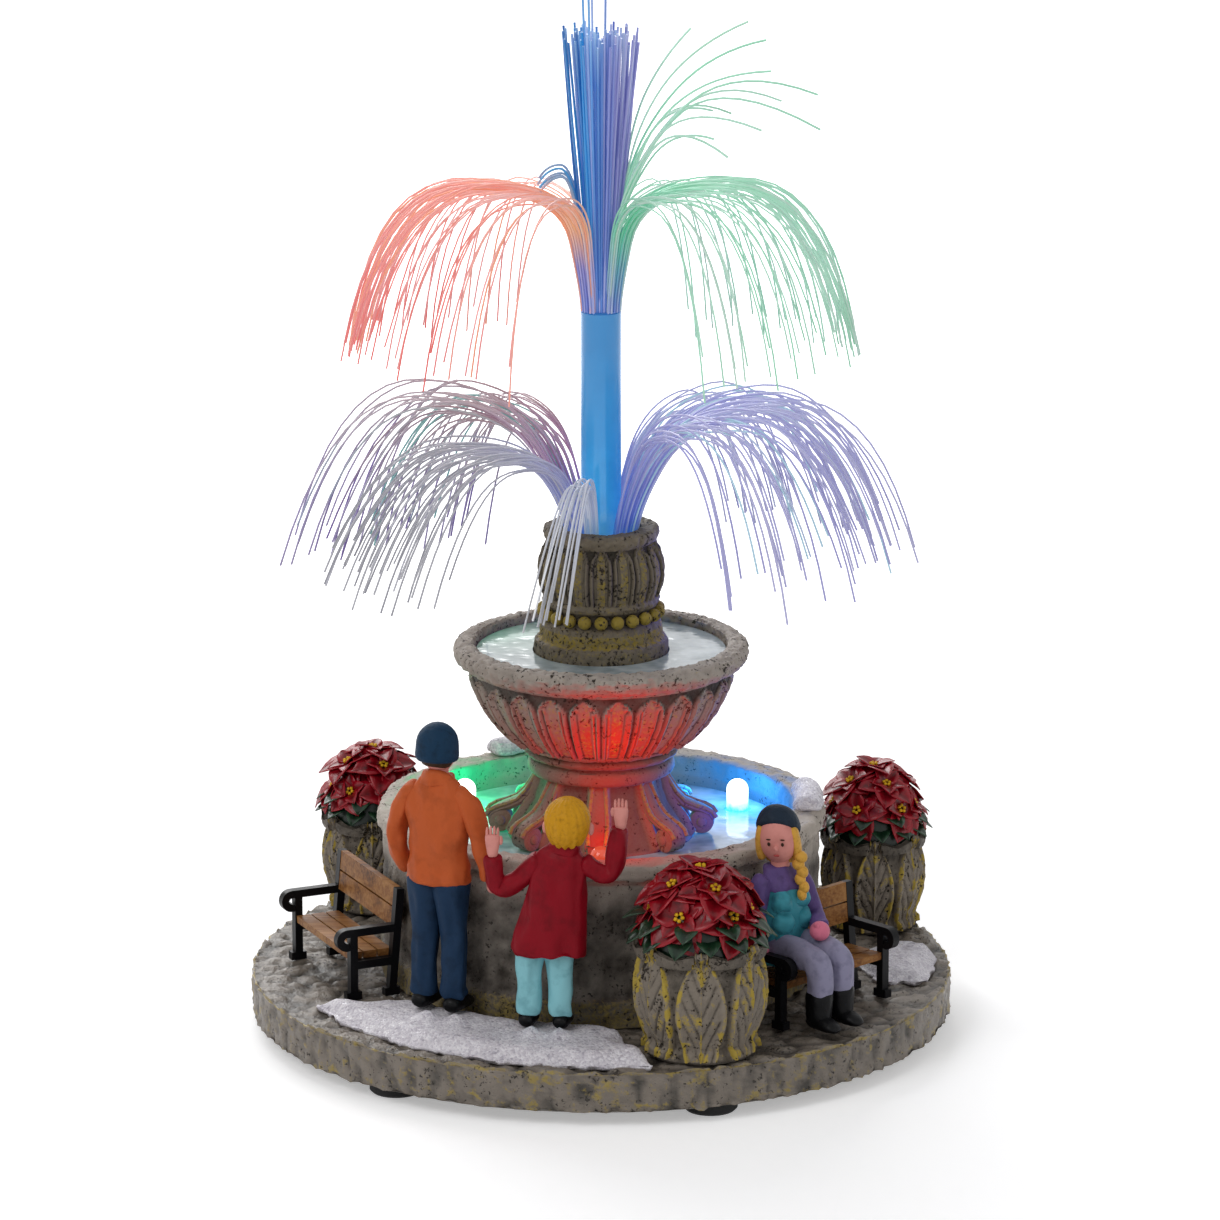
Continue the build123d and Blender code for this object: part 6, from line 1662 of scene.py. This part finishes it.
class FOUNTAIN_OT_plinth(bpy.types.Operator):
    """Lays the round plinth with its paving and rough side."""
    bl_idname = "fountain.plinth"
    bl_label = "Plinth"

    def execute(self, context):
        build_plinth()
        return {"FINISHED"}


class FOUNTAIN_OT_basin(bpy.types.Operator):
    """Builds the pale stone wall of the pool."""
    bl_idname = "fountain.basin"
    bl_label = "Basin"

    def execute(self, context):
        build_basin()
        return {"FINISHED"}


class FOUNTAIN_OT_pedestal(bpy.types.Operator):
    """Carves the pedestal with its scroll feet."""
    bl_idname = "fountain.pedestal"
    bl_label = "Pedestal"

    def execute(self, context):
        build_pedestal()
        return {"FINISHED"}


class FOUNTAIN_OT_bowl(bpy.types.Operator):
    """Carves the bowl with its tongue panels."""
    bl_idname = "fountain.bowl"
    bl_label = "Bowl"

    def execute(self, context):
        build_bowl()
        return {"FINISHED"}


class FOUNTAIN_OT_urn(bpy.types.Operator):
    """Carves the urn with its beads and lobes."""
    bl_idname = "fountain.urn"
    bl_label = "Urn"

    def execute(self, context):
        build_urn()
        return {"FINISHED"}


class FOUNTAIN_OT_pots(bpy.types.Operator):
    """Casts the three leaf pots."""
    bl_idname = "fountain.pots"
    bl_label = "Pots"

    def execute(self, context):
        for side in POTS:
            build_pot(side)
        return {"FINISHED"}


class FOUNTAIN_OT_plants(bpy.types.Operator):
    """Grows a poinsettia in each pot."""
    bl_idname = "fountain.plants"
    bl_label = "Poinsettias"

    def execute(self, context):
        for side in POTS:
            build_poinsettia(side, context.scene.fountain_colours.bracts)
        return {"FINISHED"}


class FOUNTAIN_OT_figures(bpy.types.Operator):
    """Paints the man, the boy and the girl."""
    bl_idname = "fountain.figures"
    bl_label = "Figures"

    def execute(self, context):
        colours = context.scene.fountain_colours
        build_man(colours.jacket, colours.jeans)
        build_boy(colours.coat)
        build_girl(colours.vest, colours.sleeve)
        return {"FINISHED"}


class FOUNTAIN_OT_snow(bpy.types.Operator):
    """Spreads the snow on the paving and the rim."""
    bl_idname = "fountain.snow"
    bl_label = "Snow"

    def execute(self, context):
        build_snow()
        return {"FINISHED"}


class FOUNTAIN_OT_fibres(bpy.types.Operator):
    """Sets the lower and upper sprays, the wisps and the crown."""
    bl_idname = "fountain.fibres"
    bl_label = "Fibres"

    def execute(self, context):
        sizes, colours = context.scene.fountain_sizes, context.scene.fountain_colours
        thickness = sizes.fibre_thickness / MM
        build_lower_fibres(thickness, sizes.fibre_density)
        build_upper_fibres(thickness, sizes.fibre_density, colours.left_spray, colours.right_spray)
        build_crown(thickness, sizes.fibre_density)
        return {"FINISHED"}


class FOUNTAIN_OT_finishes(bpy.types.Operator):
    """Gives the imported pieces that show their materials."""
    bl_idname = "fountain.finishes"
    bl_label = "Finishes"

    def execute(self, context):
        dress_packed_nodes()
        return {"FINISHED"}


class FOUNTAIN_OT_stage(bpy.types.Operator):
    """Sets the paper floor, the lamps and the camera."""
    bl_idname = "fountain.stage"
    bl_label = "Stage"

    def execute(self, context):
        build_stage()
        return {"FINISHED"}


OPERATORS = (
    FOUNTAIN_OT_plinth, FOUNTAIN_OT_basin, FOUNTAIN_OT_pedestal, FOUNTAIN_OT_bowl,
    FOUNTAIN_OT_urn, FOUNTAIN_OT_pots, FOUNTAIN_OT_plants, FOUNTAIN_OT_figures,
    FOUNTAIN_OT_snow, FOUNTAIN_OT_fibres, FOUNTAIN_OT_finishes, FOUNTAIN_OT_stage,
)


class FOUNTAIN_PT_pieces(bpy.types.Panel):
    """Lists the sizes, the colours and the pieces of the fountain."""
    bl_idname = "FOUNTAIN_PT_pieces"
    bl_label = "Fountain lamp"
    bl_space_type = "VIEW_3D"
    bl_region_type = "UI"
    bl_category = "Fountain"

    def draw(self, context):
        for group in (context.scene.fountain_sizes, context.scene.fountain_colours):
            for name in group.__annotations__:
                self.layout.prop(group, name)
        for operator in OPERATORS:
            self.layout.operator(operator.bl_idname)


CLASSES = (FountainSizes, FountainColours, *OPERATORS, FOUNTAIN_PT_pieces)


def register():
    for item in CLASSES:
        bpy.utils.register_class(item)
    bpy.types.Scene.fountain_sizes = bpy.props.PointerProperty(type=FountainSizes)
    bpy.types.Scene.fountain_colours = bpy.props.PointerProperty(type=FountainColours)


def unregister():
    del bpy.types.Scene.fountain_colours
    del bpy.types.Scene.fountain_sizes
    for item in reversed(CLASSES):
        bpy.utils.unregister_class(item)


def main():
    """Builds the dressed lamp."""
    register()
    for operator in OPERATORS:
        group, name = operator.bl_idname.split(".")
        getattr(getattr(bpy.ops, group), name)()
    bpy.context.view_layer.update()


if __name__ == "__main__":
    main()
